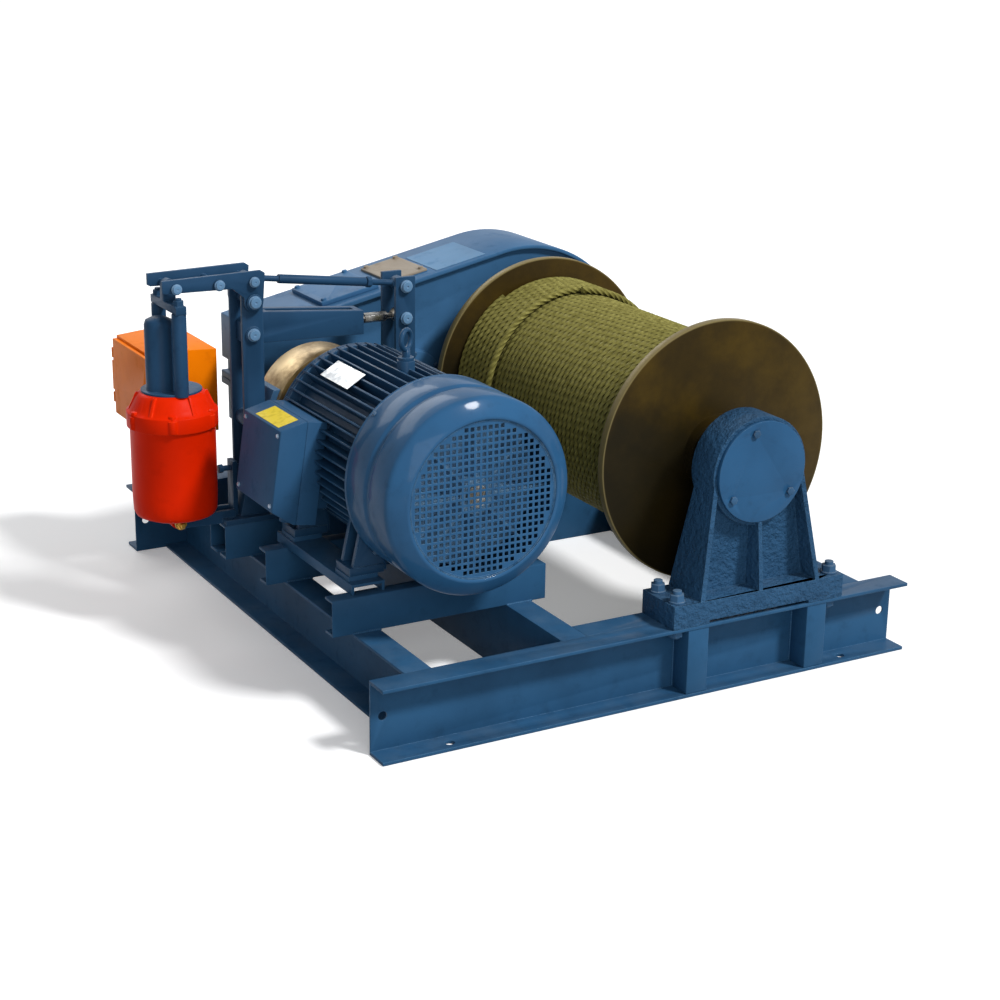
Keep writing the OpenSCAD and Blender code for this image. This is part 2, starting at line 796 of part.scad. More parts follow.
top_plate_t = 12;
module gearbox_cover() {
    place() color(paint) difference() {
        union() {
            slab_y(case_y, case_back_y) upper_outline(0);
            slab_y(case_y - case_rim, case_back_y + case_rim) difference() {
                upper_outline(-top_plate_t);
                translate([-drum_x, shaft_z - 100]) square([4 * drum_x, 160]);
                upper_outline(0);
            }
            split_flange(shaft_z, shaft_z + split_t);
            intersection() {
                bearing_bosses();
                box([0, 0, shaft_z], [2 * frame_length, 2 * frame_depth, 2 * shaft_z]);
            }
        }
        slab_y(inner_front_y, inner_back_y) upper_outline(case_shell);
        bearing_bores();
    }
}

// Places a shape on the sloping top plate, its X along the slope and Z square to it
slope_corner = [case_left_x - drum_x - top_plate_t, case_left_h + top_plate_t];
slope_r = case_r + top_plate_t;
slope_turn = atan2(slope_corner[1], slope_corner[0]) - acos(slope_r / norm(slope_corner)) - 90;
slope_run = norm(slope_corner) * sin(acos(slope_r / norm(slope_corner)));
seat_gap = 0.02;
module on_slope() {
    translate([drum_x, case_y + case_depth / 2, shaft_z]) rotate([0, -slope_turn, 0])
        translate([-slope_run, 0, slope_r + seat_gap]) children();
}

// Start, length, half width and thickness of the two covers on the slope
hatch = [224, 190, 110, 14];
name_plate = [456, 130, 100, 8];
module gearbox_hatches() {
    place() on_slope() {
        for (c = [hatch, name_plate]) color(c == hatch ? paint : rope_tan) {
            box([c[0], -c[2], 0], [c[0] + c[1], c[2], c[3]]);
            for (x = [c[0] + 14, c[0] + c[1] - 14], y = [14 - c[2], c[2] - 14])
                hex_z(x, y, c[3] - fuse, c[3] + 7, 9);
        }
    }
}

cap_t = 12;
module bearing_caps() {
    place() color(paint) for (i = [0:3]) {
        through = i == 0 || i == 3;
        front = case_y - boss_out - cap_t;
        difference() {
            bar_y(shaft_xs[i], shaft_z, front, front + cap_t, case_bearing_r[i] + 12);
            if (through) bar_y(shaft_xs[i], shaft_z, front - fuse, front + cap_t + fuse,
                journal_r[i] + slide_gap);
        }
        bar_y(shaft_xs[i], shaft_z, case_back_y + boss_out, case_back_y + boss_out + cap_t,
            case_bearing_r[i] + 12);
    }
}

module gearbox_bolts() {
    nut_t = 15;
    nut_r = 16;
    foot_z = channel_h + case_foot_t;
    under_z = channel_h - channel_flange;
    place() color(steel) {
        at_case_bolts() {
            bar_z(0, 0, under_z - nut_t - 4, foot_z + 8, case_bolt_r);
            hex_z(0, 0, foot_z, foot_z + nut_t, nut_r);
            hex_z(0, 0, under_z - nut_t, under_z, nut_r);
        }
        for (x = [case_left_x - case_rim, drum_x + case_r + case_rim], t = [-1, 1]) {
            y = case_y + case_depth / 2 + t * case_depth / 4;
            s = x < drum_x ? 1 : -1;
            hex_z(x + s * 7, y, shaft_z + split_t, shaft_z + split_t + 8, 7);
            hex_z(x + s * 7, y, shaft_z - split_t - 8, shaft_z - split_t, 7);
        }
    }
}

module gearbox_bearings() {
    place() color(steel) for (i = [0:3]) {
        ring_y(shaft_xs[i], shaft_z, case_y - boss_out, inner_front_y, case_bearing_r[i],
            journal_r[i] + fit);
        ring_y(shaft_xs[i], shaft_z, inner_back_y, case_back_y + boss_out, case_bearing_r[i],
            journal_r[i] + fit);
    }
}

shaft_end_y = case_back_y + boss_out - 3;
coupling_web_y = brake_y - 21;
module input_shaft() {
    place() color(steel) {
        bar_y(motor_x, shaft_z, coupling_web_y + 2, shaft_end_y, journal_r[0]);
        gear(module_1, teeth_1[0], motor_x, gear_1_y - 4, gear_1_y + face_1 + 4, false);
    }
}

module first_gear_shaft() {
    place() color(steel) {
        bar_y(shaft_1_x, shaft_z, case_y - boss_out + 3, shaft_end_y, journal_r[1]);
        gear(module_2, teeth_2[0], shaft_1_x, gear_2_y - 4, gear_2_y + face_2 + 4, false);
        gear(module_1, teeth_1[1], shaft_1_x, gear_1_y, gear_1_y + face_1, true);
    }
}

module second_gear_shaft() {
    place() color(steel) {
        bar_y(shaft_2_x, shaft_z, case_y - boss_out + 3, shaft_end_y, journal_r[2]);
        gear(module_3, teeth_3[0], shaft_2_x, gear_3_y - 4, gear_3_y + face_3 + 4, false);
        gear(module_2, teeth_2[1], shaft_2_x, gear_2_y, gear_2_y + face_2, true);
    }
}

module drum_gear() {
    rim_in = module_3 * teeth_3[1] / 2 - 45;
    hub_out = drum_journal_r + 45;
    web_half = 12;
    mid_y = gear_3_y + face_3 / 2;
    place() color(steel) difference() {
        gear(module_3, teeth_3[1], drum_x, gear_3_y, gear_3_y + face_3, true);
        bar_y(drum_x, shaft_z, gear_3_y - fuse, gear_3_y + face_3 + fuse, drum_journal_r);
        ring_y(drum_x, shaft_z, gear_3_y - fuse, mid_y - web_half, rim_in, hub_out);
        ring_y(drum_x, shaft_z, mid_y + web_half, gear_3_y + face_3 + fuse, rim_in, hub_out);
        for (a = [0:60:300])
            bar_y(drum_x + (rim_in + hub_out) / 2 * cos(a), shaft_z + (rim_in + hub_out) / 2 * sin(a),
                gear_3_y, gear_3_y + face_3, 50);
    }
}

// The motor

foot_bolt_r = 10;
foot_half_len = 42;
foot_z = rail_top + packing_t;
foot_t = 22;
cowl_end_y = cowl_y + cowl_len;
body_y = cowl_end_y + 6;
stator_out_r = 172;
motor_bearing_r = [35, 70];
motor_bearing_w = 35;
drive_bearing_y = body_end_y + 6;
fan_bearing_y = body_y;
eye_y = 502;

// A turned shape about the motor axis from points of radius and Y
module turned(points) {
    along_y(motor_x, 0, shaft_z) rotate_extrude() polygon(points);
}

// Places a shape in the tilted frame of the terminal box, from the motor axis
module at_terminal() {
    translate([motor_x, 0, shaft_z]) rotate([0, box_tilt, 0]) children();
}
box_y = body_end_y - 1 - box_len;
box_top = 73;
box_back = 214;
box_split = 270;
box_face = 345;
box_wall = 5;

module motor_foot(s, y) {
    box([motor_x + min(s * 150, s * 248), y - foot_half_len, foot_z],
        [motor_x + max(s * 150, s * 248), y + foot_half_len, foot_z + foot_t]);
    for (t = [-1, 1]) slab_y(y + t * 31 - 7, y + t * 31 + 7)
        polygon([for (p = [[140, foot_z + 4], [236, foot_z + 4], [236, foot_z + foot_t],
            [206, shaft_z - 90], [150, shaft_z - 110]]) [motor_x + s * p[0], p[1]]]);
}

module motor_body() {
    fin = [for (i = [0:fin_count - 1]) let (a = 360 * i / fin_count)
        each [polar(fin_root_r, a - asin(4.5 / fin_root_r)), polar(fin_tip_r, a - asin(2.5 / fin_tip_r)),
            polar(fin_tip_r, a + asin(2.5 / fin_tip_r)), polar(fin_root_r, a + asin(4.5 / fin_root_r))]];
    place() color(paint) difference() {
        union() {
            slab_y(body_y, body_end_y) translate([motor_x, shaft_z]) polygon(fin);
            bar_y(motor_x, shaft_z, body_y, body_y + 16, fin_tip_r - 4);
            bar_y(motor_x, shaft_z, body_end_y - 16, body_end_y, fin_tip_r - 4);
            for (s = [-1, 1], y = [foot_y, foot_y + foot_pitch]) motor_foot(s, y);
            bar_z(motor_x, eye_y, shaft_z + fin_root_r - 12, shaft_z + fin_tip_r + 20, 24);
            at_terminal() box([-box_back, box_y + 20, box_top - box_h + 40],
                [-fin_root_r + 30, box_y + box_len - 20, box_top - 12]);
        }
        bar_y(motor_x, shaft_z, body_y - fuse, body_end_y + fuse, stator_out_r);
        at_terminal() box([-fin_tip_r - 20, box_y, box_top - box_h],
            [-box_back, box_y + box_len, box_top]);
        for (s = [-1, 1], y = [foot_y, foot_y + foot_pitch])
            bar_z(motor_x + s * foot_x, y, foot_z - fuse, foot_z + foot_t + fuse,
                foot_bolt_r + slide_gap);
    }
}

module drive_end_shield() {
    hub_y = drive_bearing_y + motor_bearing_w;
    place() color(paint) turned([[motor_bearing_r[0] + 3, hub_y + 14], [motor_bearing_r[0] + 3, hub_y],
        [motor_bearing_r[1], hub_y], [motor_bearing_r[1], body_end_y - 8], [stator_out_r, body_end_y - 8],
        [stator_out_r, body_end_y], [fin_tip_r - 4, body_end_y], [fin_tip_r - 4, body_end_y + 14],
        [fin_tip_r - 16, body_end_y + 22], [120, body_end_y + 34], [96, hub_y + 14]]);
}

module fan_end_shield() {
    lug = sqrt(pow(cowl_r - 3, 2) - pow(12, 2));
    place() color(paint) {
        turned([[motor_bearing_r[0] + 3, body_y - 12], [motor_bearing_r[0] + 3, fan_bearing_y],
            [motor_bearing_r[1], fan_bearing_y], [motor_bearing_r[1], fan_bearing_y + motor_bearing_w],
            [96, fan_bearing_y + motor_bearing_w], [110, body_y + 6], [stator_out_r, body_y + 8],
            [stator_out_r, body_y], [fin_tip_r - 4, body_y], [fin_tip_r - 4, body_y - 12]]);
        for (a = [45:90:315]) along_y(motor_x, body_y - 22, shaft_z) rotate([0, 0, a])
            box([fin_tip_r - 20, -12, 0], [lug, 12, 12]);
    }
}

module fan_cowl() {
    groove_y = cowl_y + cowl_len * 0.55;
    g = grille_r;
    r = cowl_r;
    n = floor(grille_r / grille_pitch);
    holes = [for (i = [-n:n], j = [-n:n]) let (c = grille_pitch * [i, j])
        if (norm(c) < grille_r - 14) c];
    place() color(paint) {
        turned([[g, cowl_y + 10], [g, cowl_y + 6], [g + 7, cowl_y], [r - 14, cowl_y],
            [r - 4, cowl_y + 4], [r, cowl_y + 14], [r, groove_y - 7], [r - 5, groove_y],
            [r - 5, groove_y + 8], [r, groove_y + 15], [r, cowl_end_y], [r - 3, cowl_end_y],
            [r - 3, groove_y + 16], [r - 8, groove_y + 9], [r - 8, groove_y - 1], [r - 3, groove_y - 8],
            [r - 3, cowl_y + 15], [r - 6, cowl_y + 7], [r - 15, cowl_y + 3], [g + 9, cowl_y + 3],
            [g + 5, cowl_y + 10]]);
        difference() {
            bar_y(motor_x, shaft_z, cowl_y + 7, cowl_y + 9, g + 4);
            slab_y(cowl_y, cowl_y + 20) translate([motor_x, shaft_z])
                for (c = holes) translate(c) square(grille_hole, center = true);
        }
    }
}

fan_shaft_r = 30;
fan_y = [cowl_y + 44, cowl_y + 120];
module motor_fan() {
    place() color(dark_paint) {
        ring_y(motor_x, shaft_z, fan_y[0], fan_y[1], fan_shaft_r + 18, fan_shaft_r);
        ring_y(motor_x, shaft_z, fan_y[1] - 5, fan_y[1], grille_r - 12, fan_shaft_r + 10);
        for (a = [0:45:315]) along_y(motor_x, fan_y[0] + 4, shaft_z) rotate([0, 0, a])
            box([fan_shaft_r + 14, -2.5, 0], [grille_r - 14, 2.5, fan_y[1] - fan_y[0] - 6]);
    }
}

core_y = [body_y + 90, body_end_y - 110];
coupling_y = drive_bearing_y + motor_bearing_w + 26;
shaft_tip_y = brake_y - wheel_w / 2 - 8;
module motor_rotor() {
    bearing_end = fan_bearing_y + motor_bearing_w;
    place() color(steel) {
        bar_y(motor_x, shaft_z, fan_y[0] - 6, body_y - 14, fan_shaft_r);
        bar_y(motor_x, shaft_z, body_y - 14, bearing_end + 2, motor_bearing_r[0]);
        bar_y(motor_x, shaft_z, bearing_end + 2, drive_bearing_y - 2, motor_bearing_r[0] + 8);
        bar_y(motor_x, shaft_z, core_y[0], core_y[1], rotor_r);
        bar_y(motor_x, shaft_z, drive_bearing_y - 2, coupling_y - 4, motor_bearing_r[0]);
        bar_y(motor_x, shaft_z, coupling_y - 4, shaft_tip_y, motor_shaft_r);
    }
}

module motor_stator() {
    place() color(copper) {
        ring_y(motor_x, shaft_z, core_y[0], core_y[1], stator_out_r, rotor_r + air_gap);
        ring_y(motor_x, shaft_z, core_y[0] - 36, core_y[0], stator_out_r - 10, rotor_r + 8);
        ring_y(motor_x, shaft_z, core_y[1], core_y[1] + 36, stator_out_r - 10, rotor_r + 8);
    }
}

module motor_bearings() {
    place() color(steel) for (y = [fan_bearing_y, drive_bearing_y])
        ring_y(motor_x, shaft_z, y, y + motor_bearing_w, motor_bearing_r[1], motor_bearing_r[0] + fit);
}

module terminal_box() {
    low = box_top - box_h;
    place() color(paint) at_terminal() {
        difference() {
            box([-box_split, box_y, low], [-box_back, box_y + box_len, box_top]);
            box([-box_split - fuse, box_y + box_wall, low + box_wall],
                [-box_back - box_wall, box_y + box_len - box_wall, box_top - box_wall]);
            translate([-box_back - box_wall - fuse, box_y + box_len / 2, box_top - box_h / 2 - 20])
                rotate([0, 90, 0]) cylinder(h = box_wall + 2 * fuse, r = 30);
        }
        difference() {
            bar_z(-(box_back + box_split) / 2, box_y + box_len / 2, low - 26, low + fuse, 19);
            bar_z(-(box_back + box_split) / 2, box_y + box_len / 2, low - 26 - fuse, low - 4, 12);
        }
    }
}

module terminal_lid() {
    low = box_top - box_h;
    t = box_wall;
    outer = [[-box_split, low], [-box_split, box_top], [-box_split - 8, box_top],
        [-box_face, box_top - 28], [-box_face, low + 34], [-box_split - 8, low]];
    inner = [[-box_split + fuse, low + t], [-box_split + fuse, box_top - t],
        [-box_split - 8, box_top - t], [-box_face + t, box_top - 28 - t],
        [-box_face + t, low + 34 + t], [-box_split - 8, low + t]];
    place() color(paint) at_terminal() difference() {
        slab_y(box_y, box_y + box_len) polygon(outer);
        slab_y(box_y + t, box_y + box_len - t) polygon(inner);
    }
}

module motor_eyebolt() {
    seat = shaft_z + fin_tip_r + 20;
    ring_mid = 26;
    bar = 7;
    place() color(paint) {
        bar_z(motor_x, eye_y, seat, seat + 8, 21);
        bar_z(motor_x, eye_y, seat + 7, seat + 30, 11);
        translate([motor_x, eye_y, seat + 28 + ring_mid]) rotate([0, 0, 35]) rotate([90, 0, 0])
            rotate_extrude() translate([ring_mid, 0]) circle(bar);
    }
}

module motor_bolts() {
    place() color(steel) for (s = [-1, 1], y = [foot_y, foot_y + foot_pitch]) {
        x = motor_x + s * foot_x;
        bar_z(x, y, rail_top - rail_wall - 18, foot_z + foot_t + 20, foot_bolt_r);
        hex_z(x, y, foot_z + foot_t, foot_z + foot_t + 14, 17);
        hex_z(x, y, rail_top - rail_wall - 16, rail_top - rail_wall, 17);
    }
}

// Coupling and brake

coupling_pin_r = 9;
coupling_pin_at = 88;
wheel_y = [brake_y - wheel_w / 2, brake_y + wheel_w / 2];
module coupling_pins(y0, y1, r) {
    for (a = [0:60:300])
        bar_y(motor_x + coupling_pin_at * cos(a), shaft_z + coupling_pin_at * sin(a), y0, y1, r);
}

module motor_coupling() {
    place() color(steel) {
        difference() {
            union() {
                bar_y(motor_x, shaft_z, coupling_y, wheel_y[0] - 6, 56);
                bar_y(motor_x, shaft_z, wheel_y[0] - 30, wheel_y[0] - 6, 114);
            }
            bar_y(motor_x, shaft_z, coupling_y - fuse, wheel_y[0], motor_shaft_r);
        }
        coupling_pins(wheel_y[0] - 36, coupling_web_y + 20, coupling_pin_r);
    }
}

module brake_wheel() {
    place() color(bronze) difference() {
        union() {
            ring_y(motor_x, shaft_z, wheel_y[0], wheel_y[1], wheel_r, wheel_r - 14);
            bar_y(motor_x, shaft_z, coupling_web_y, coupling_web_y + 16, wheel_r - 10);
            bar_y(motor_x, shaft_z, coupling_web_y, wheel_y[1], journal_r[0] + 28);
        }
        bar_y(motor_x, shaft_z, coupling_web_y - fuse, wheel_y[1] + fuse, journal_r[0]);
        coupling_pins(coupling_web_y - fuse, coupling_web_y + 17, coupling_pin_r + fit);
    }
}

arm_front_y = brake_y - arm_depth / 2;
arm_back_y = brake_y + arm_depth / 2;
left_arm_x = motor_x - arm_x;
right_arm_x = motor_x + arm_x;
lever_t = 10;
lever_gap = 2;
base_z = small_top;
base_t = 16;
lug_half = arm_depth / 2 - arm_t - 2;
small_pin_r = 9;
end_pin_r = 8;

// The two plates of a brake arm
module arm_plates(x, top_z) {
    for (y = [arm_front_y, arm_back_y - arm_t])
        box([x - arm_w / 2, y, arm_foot_z - 26], [x + arm_w / 2, y + arm_t, top_z]);
}

// A pin through an arm with a head outside each plate
module arm_pin(x, z, r, reach) {
    bar_y(x, z, arm_front_y - reach, arm_back_y + reach, r);
    bar_y(x, z, arm_front_y - reach - 6, arm_front_y - reach, r + 9);
    bar_y(x, z, arm_back_y + reach, arm_back_y + reach + 6, r + 9);
}

module left_brake_arm() {
    place() color(paint) {
        arm_plates(left_arm_x, lever_pivot_z + 33);
        for (z = [arm_foot_z, shaft_z, spring_z]) arm_pin(left_arm_x, z, pin_r, 0);
        arm_pin(left_arm_x, lever_pivot_z, pin_r, lever_gap + lever_t + 1);
    }
}

module right_brake_arm() {
    place() color(paint) {
        arm_plates(right_arm_x, tie_right_z + 27);
        for (z = [arm_foot_z, shaft_z]) arm_pin(right_arm_x, z, pin_r, 0);
        for (z = [spring_z, tie_right_z]) arm_pin(right_arm_x, z, small_pin_r, 0);
    }
}

lining_t = 9;
shoe_t = 9;
shoe_half = 55;
shoe_reach = 88;

// A brake shoe on the side given by s, with its lining, backing and pinned web
module brake_shoe(s) {
    face = wheel_r + lining_gap;
    back = face + lining_t + shoe_t;
    pin_x = motor_x + s * arm_x;
    difference() {
        union() {
            intersection() {
                ring_y(motor_x, shaft_z, brake_y - shoe_half, brake_y + shoe_half, back, face);
                box([motor_x + min(0, s * back), wheel_y[0], shaft_z - shoe_reach],
                    [motor_x + max(0, s * back), wheel_y[1], shaft_z + shoe_reach]);
            }
            difference() {
                box([min(pin_x, motor_x + s * face), brake_y - lug_half, shaft_z - 24],
                    [max(pin_x, motor_x + s * face), brake_y + lug_half, shaft_z + 24]);
                bar_y(motor_x, shaft_z, wheel_y[0], wheel_y[1], face + lining_t);
            }
            bar_y(pin_x, shaft_z, brake_y - lug_half, brake_y + lug_half, 24);
        }
        bar_y(pin_x, shaft_z, wheel_y[0], wheel_y[1], pin_r);
    }
}

module left_brake_shoe() {
    place() color(dark_paint) brake_shoe(-1);
}

module right_brake_shoe() {
    place() color(dark_paint) brake_shoe(1);
}

stop_z = arm_foot_z + 43;
module brake_base() {
    left = left_arm_x - 99;
    right = right_arm_x + 66;
    place() color(paint) difference() {
        union() {
            box([left, brake_y - 60, base_z], [right, brake_y + 60, base_z + base_t]);
            for (x = [left_arm_x, right_arm_x]) {
                slab_y(brake_y - lug_half, brake_y + lug_half)
                    polygon([[x - 44, base_z + base_t - fuse], [x + 44, base_z + base_t - fuse],
                        [x + 24, arm_foot_z], [x - 24, arm_foot_z]]);
                bar_y(x, arm_foot_z, brake_y - lug_half, brake_y + lug_half, 24);
            }
            for (s = [-1, 1]) {
                x = motor_x + s * (arm_x + arm_w / 2 + 22);
                box([x - 7, brake_y - 20, base_z + base_t - fuse], [x + 7, brake_y + 20, stop_z + 22]);
                translate([x - (s > 0 ? 22 - 0.6 : 30), brake_y, stop_z]) rotate([0, 90, 0])
                    cylinder(h = 52 - 0.6, r = 8);
                translate([x + (s > 0 ? 30 : -42), brake_y, stop_z]) rotate([0, 90, 0])
                    cylinder(h = 12, r = 13, $fn = 6);
            }
            for (t = [-1, 1]) slab_y(brake_y + t * 24 - 6, brake_y + t * 24 + 6)
                polygon([[left + 40, base_z], [left + 40, base_z + 36], [thruster_x, thruster_foot_z + 16],
                    [thruster_x - 16, thruster_foot_z], [thruster_x, thruster_foot_z - 16]]);
            bar_y(thruster_x, thruster_foot_z, brake_y - 36, brake_y + 36, 10);
        }
        for (x = [left + 22, right - 22], t = [-1, 1])
            bar_z(x, brake_y + t * 46, base_z - fuse, base_z + base_t + fuse, 9);
        for (x = [left_arm_x, right_arm_x])
            bar_y(x, arm_foot_z, wheel_y[0], wheel_y[1], pin_r + fit);
    }
}

// Bell crank of two plates, pulled up at its left end by the thruster
module brake_lever() {
    left = thruster_x - 38;
    front = arm_front_y - lever_gap - lever_t;
    back = arm_back_y + lever_gap;
    place() color(paint) {
        difference() {
            for (y = [front, back]) slab_y(y, y + lever_t) union() {
                polygon([[left, tie_top_z - 8], [left + 8, tie_top_z - 12], [left_arm_x - 62, tie_top_z - 15],
                    [left_arm_x - 28, lever_pivot_z + 14], [left_arm_x - 28, lever_pivot_z],
                    [left_arm_x + 28, lever_pivot_z], [left_arm_x + 34, tie_top_z + 22],
                    [left_arm_x + 22, tie_top_z + 30], [left, tie_top_z + 24]]);
                translate([left_arm_x, lever_pivot_z]) circle(28);
            }
            bar_y(left_arm_x, lever_pivot_z, front - fuse, back + lever_t + fuse, pin_r + fit);
        }
        for (p = [[thruster_x, end_pin_r], [left_arm_x - 102, 11], [left_arm_x, small_pin_r]]) {
            bar_y(p[0], tie_top_z, front - 8, back + lever_t + 8, p[1]);
            for (y = [front - 8, back + lever_t + 2]) bar_y(p[0], tie_top_z, y, y + 6, p[1] + 5);
        }
    }
}

// Places a shape along the tie rod, from the lever's pin towards the right arm
tie_length = norm([right_arm_x - left_arm_x, tie_top_z - tie_right_z]);
tie_drop = atan2(tie_top_z - tie_right_z, right_arm_x - left_arm_x);
module along_tie() {
    translate([left_arm_x, brake_y, tie_top_z]) rotate([0, tie_drop, 0]) children();
}

module tie_rod() {
    place() color(paint) difference() {
        union() {
            along_tie() rotate([0, 90, 0]) {
                translate([0, 0, 10]) cylinder(h = tie_length - 20, r = 8.5);
                translate([0, 0, 100]) cylinder(h = 270, r = 13);
                translate([0, 0, 22]) cylinder(h = 14, r = 17, $fn = 6);
                translate([0, 0, 374]) cylinder(h = 14, r = 16, $fn = 6);
            }
            bar_y(left_arm_x, tie_top_z, brake_y - 12, brake_y + 12, 19);
            bar_y(right_arm_x, tie_right_z, brake_y - 12, brake_y + 12, 21);
        }
        bar_y(left_arm_x, tie_top_z, brake_y - 13, brake_y + 13, small_pin_r + fit);
        bar_y(right_arm_x, tie_right_z, brake_y - 13, brake_y + 13, small_pin_r + link_play);
    }
}

spring_box_end = left_arm_x + 346;
spring_box_half = lug_half;
spring_box_wall = 5;
spring_x = [left_arm_x + 66, spring_box_end - 6];
module spring_box() {
    low = spring_z - spring_r - wire_r - spring_box_wall - 1.5;
    t = spring_box_wall;
    end = spring_box_end;
    start = left_arm_x + 44;
    place() color(paint) difference() {
        union() {
            slab_y(brake_y - spring_box_half, brake_y + spring_box_half)
                polygon([[left_arm_x - 16, low + 2], [start, low], [end, low - 6], [end, spring_z + 31],
                    [left_arm_x + 30, spring_z + 58], [left_arm_x - 16, spring_z + 26]]);
        }
        slab_y(brake_y - spring_box_half + t, brake_y + spring_box_half - t)
            polygon([[start, low + t], [end - 6, low - 6 + t], [end - 6, spring_z + 31 - t],
                [start, spring_z + 52 - t]]);
        box([start + 12, brake_y - 14, spring_z], [end - 20, brake_y + 14, spring_z + 100]);
        bar_y(left_arm_x, spring_z, wheel_y[0], wheel_y[1], pin_r + fit);
        translate([end - 10, brake_y, spring_z]) rotate([0, 90, 0]) cylinder(h = 20, r = 12);
    }
}

curl_rings = 8;
spring_end = 3 * wire_r;
// Rings of the spring: square ends that run straight onto their seats, and the curls between
spring_rings = let (x0 = spring_x[0], x1 = spring_x[1], run = x1 - x0 - 2 * spring_end,
    total = spring_curls * curl_rings,
    around = function (a) [0, cos(a), sin(a)], ahead = function (a) [0, -sin(a), cos(a)],
    side = function (a, tilt) cos(tilt) * [1, 0, 0] - sin(tilt) * ahead(a))
    concat(
        [for (p = [[0, 90], [2 * wire_r, 90], [2.7 * wire_r, 45]])
            ring_points([x0 + p[0], 0, 0] + spring_r * around(p[1] == 90 ? -14 : -10), around(-12),
                side(-12, p[1]), wire_r)],
        [for (i = [0:total]) let (a = 360 * i / curl_rings)
            ring_points([x0 + spring_end + run * i / total, 0, 0] + spring_r * around(a), around(a),
                side(a, 0), wire_r)],
        [for (p = [[2.7 * wire_r, 45], [2 * wire_r, 90], [0, 90]])
            ring_points([x1 - p[0], 0, 0] + spring_r * around(p[1] == 90 ? 14 : 10), around(12),
                side(12, p[1]), wire_r)]);
echo(least_gap_of_the_spring = turn_gap(spring_rings, curl_rings));

module brake_spring() {
    place() color(steel) translate([0, brake_y, spring_z]) tube(spring_rings);
}

// The rod through the spring, pinned to the right arm
module spring_rod() {
    plate_t = 8;
    place() color(steel) difference() {
        union() {
            translate([spring_x[0] - plate_t - 7, brake_y, spring_z]) rotate([0, 90, 0])
                cylinder(h = right_arm_x - spring_x[0] + plate_t, r = 9);
            translate([spring_x[0] - plate_t, brake_y, spring_z]) rotate([0, 90, 0])
                cylinder(h = plate_t, r = spring_r + wire_r - 1);
            translate([spring_box_end + 16, brake_y, spring_z]) rotate([0, 90, 0])
                cylinder(h = 70, r = 15, $fn = 6);
            bar_y(right_arm_x, spring_z, brake_y - 14, brake_y + 14, 21);
        }
        bar_y(right_arm_x, spring_z, brake_y - 15, brake_y + 15, small_pin_r + fit);
    }
}

// The thruster

dome_r = 96;
tube_r = 20;
motor_tube_r = 40;
rod_r = 9;
module thruster_body() {
    place() color(red) translate([thruster_x, brake_y, 0]) {
        rotate_extrude() polygon([[0, thruster_z], [thruster_r - 22, thruster_z],
            [thruster_r - 8, thruster_z + 6], [thruster_r - 2, thruster_z + 18],
            [thruster_r, thruster_z + 60], [thruster_r, rim_z], [thruster_rim_r - 6, rim_z],
            [thruster_rim_r - 6, rim_z + 42], [thruster_r - 2, rim_z + 48],
            [dome_r, thruster_top_z - 8], [dome_r - 10, thruster_top_z], [0, thruster_top_z]]);
        for (a = [10:60:310]) rotate([0, 0, a]) {
            translate([thruster_rim_r - 16, 0, rim_z + 3]) cylinder(h = 35, r = 16);
            translate([thruster_rim_r - 14, 0, rim_z + 37]) cylinder(h = 14, r = 10, $fn = 6);
        }
        for (a = [40:60:340]) rotate([0, 0, a]) rotate([90, 0, 0]) translate([0, 0, -4])
            linear_extrude(8) polygon([[dome_r - 20, rim_z + 30], [thruster_rim_r - 10, rim_z + 40],
                [dome_r + 2, thruster_top_z - 2], [dome_r - 20, thruster_top_z - 2]]);
        difference() {
            union() {
                box([-19, -16, thruster_foot_z], [19, 16, thruster_z + fuse]);
                translate([0, 0, thruster_foot_z]) bar_y(0, 0, -16, 16, 20);
            }
            translate([0, 0, thruster_foot_z]) bar_y(0, 0, -17, 17, 10 + fit);
        }
    }
}

module thruster_head() {
    place() color(paint) translate([thruster_x, brake_y, 0]) {
        difference() {
            union() {
                bar_z(0, 0, thruster_top_z, thruster_top_z + 6, dome_r - 12);
                for (s = [-1, 1]) bar_z(0, s * rod_half, thruster_top_z, tube_top_z, tube_r);
            }
            for (s = [-1, 1])
                bar_z(0, s * rod_half, thruster_top_z - fuse, tube_top_z + fuse, rod_r + slide_gap);
        }
        translate([-30, 0, 0]) rotate_extrude() polygon([[0, thruster_top_z + 5],
            [motor_tube_r, thruster_top_z + 5], [motor_tube_r, tube_top_z - 40],
            [motor_tube_r - 4, tube_top_z - 28], [motor_tube_r - 20, tube_top_z - 20],
            [0, tube_top_z - 18]]);
        bar_z(44, 14, thruster_top_z + 5, thruster_top_z + 58, 9);
    }
}

module thruster_rods() {
    bar_low = tube_top_z + 1;
    bar_high = bar_low + 22;
    place() color(paint) translate([thruster_x, brake_y, 0]) {
        for (s = [-1, 1]) {
            bar_z(0, s * rod_half, thruster_top_z + 4, bar_high + 20, rod_r);
            hex_z(0, s * rod_half, bar_high, bar_high + 14, 15);
        }
        box([-15, -rod_half - 20, bar_low], [15, rod_half + 20, bar_high]);
        difference() {
            union() {
                box([-18, -12, bar_high - fuse], [18, 12, tie_top_z]);
                translate([0, 0, tie_top_z]) bar_y(0, 0, -12, 12, 18);
            }
            translate([0, 0, tie_top_z]) bar_y(0, 0, -13, 13, end_pin_r + link_play);
        }
    }
}

// The control box on its post

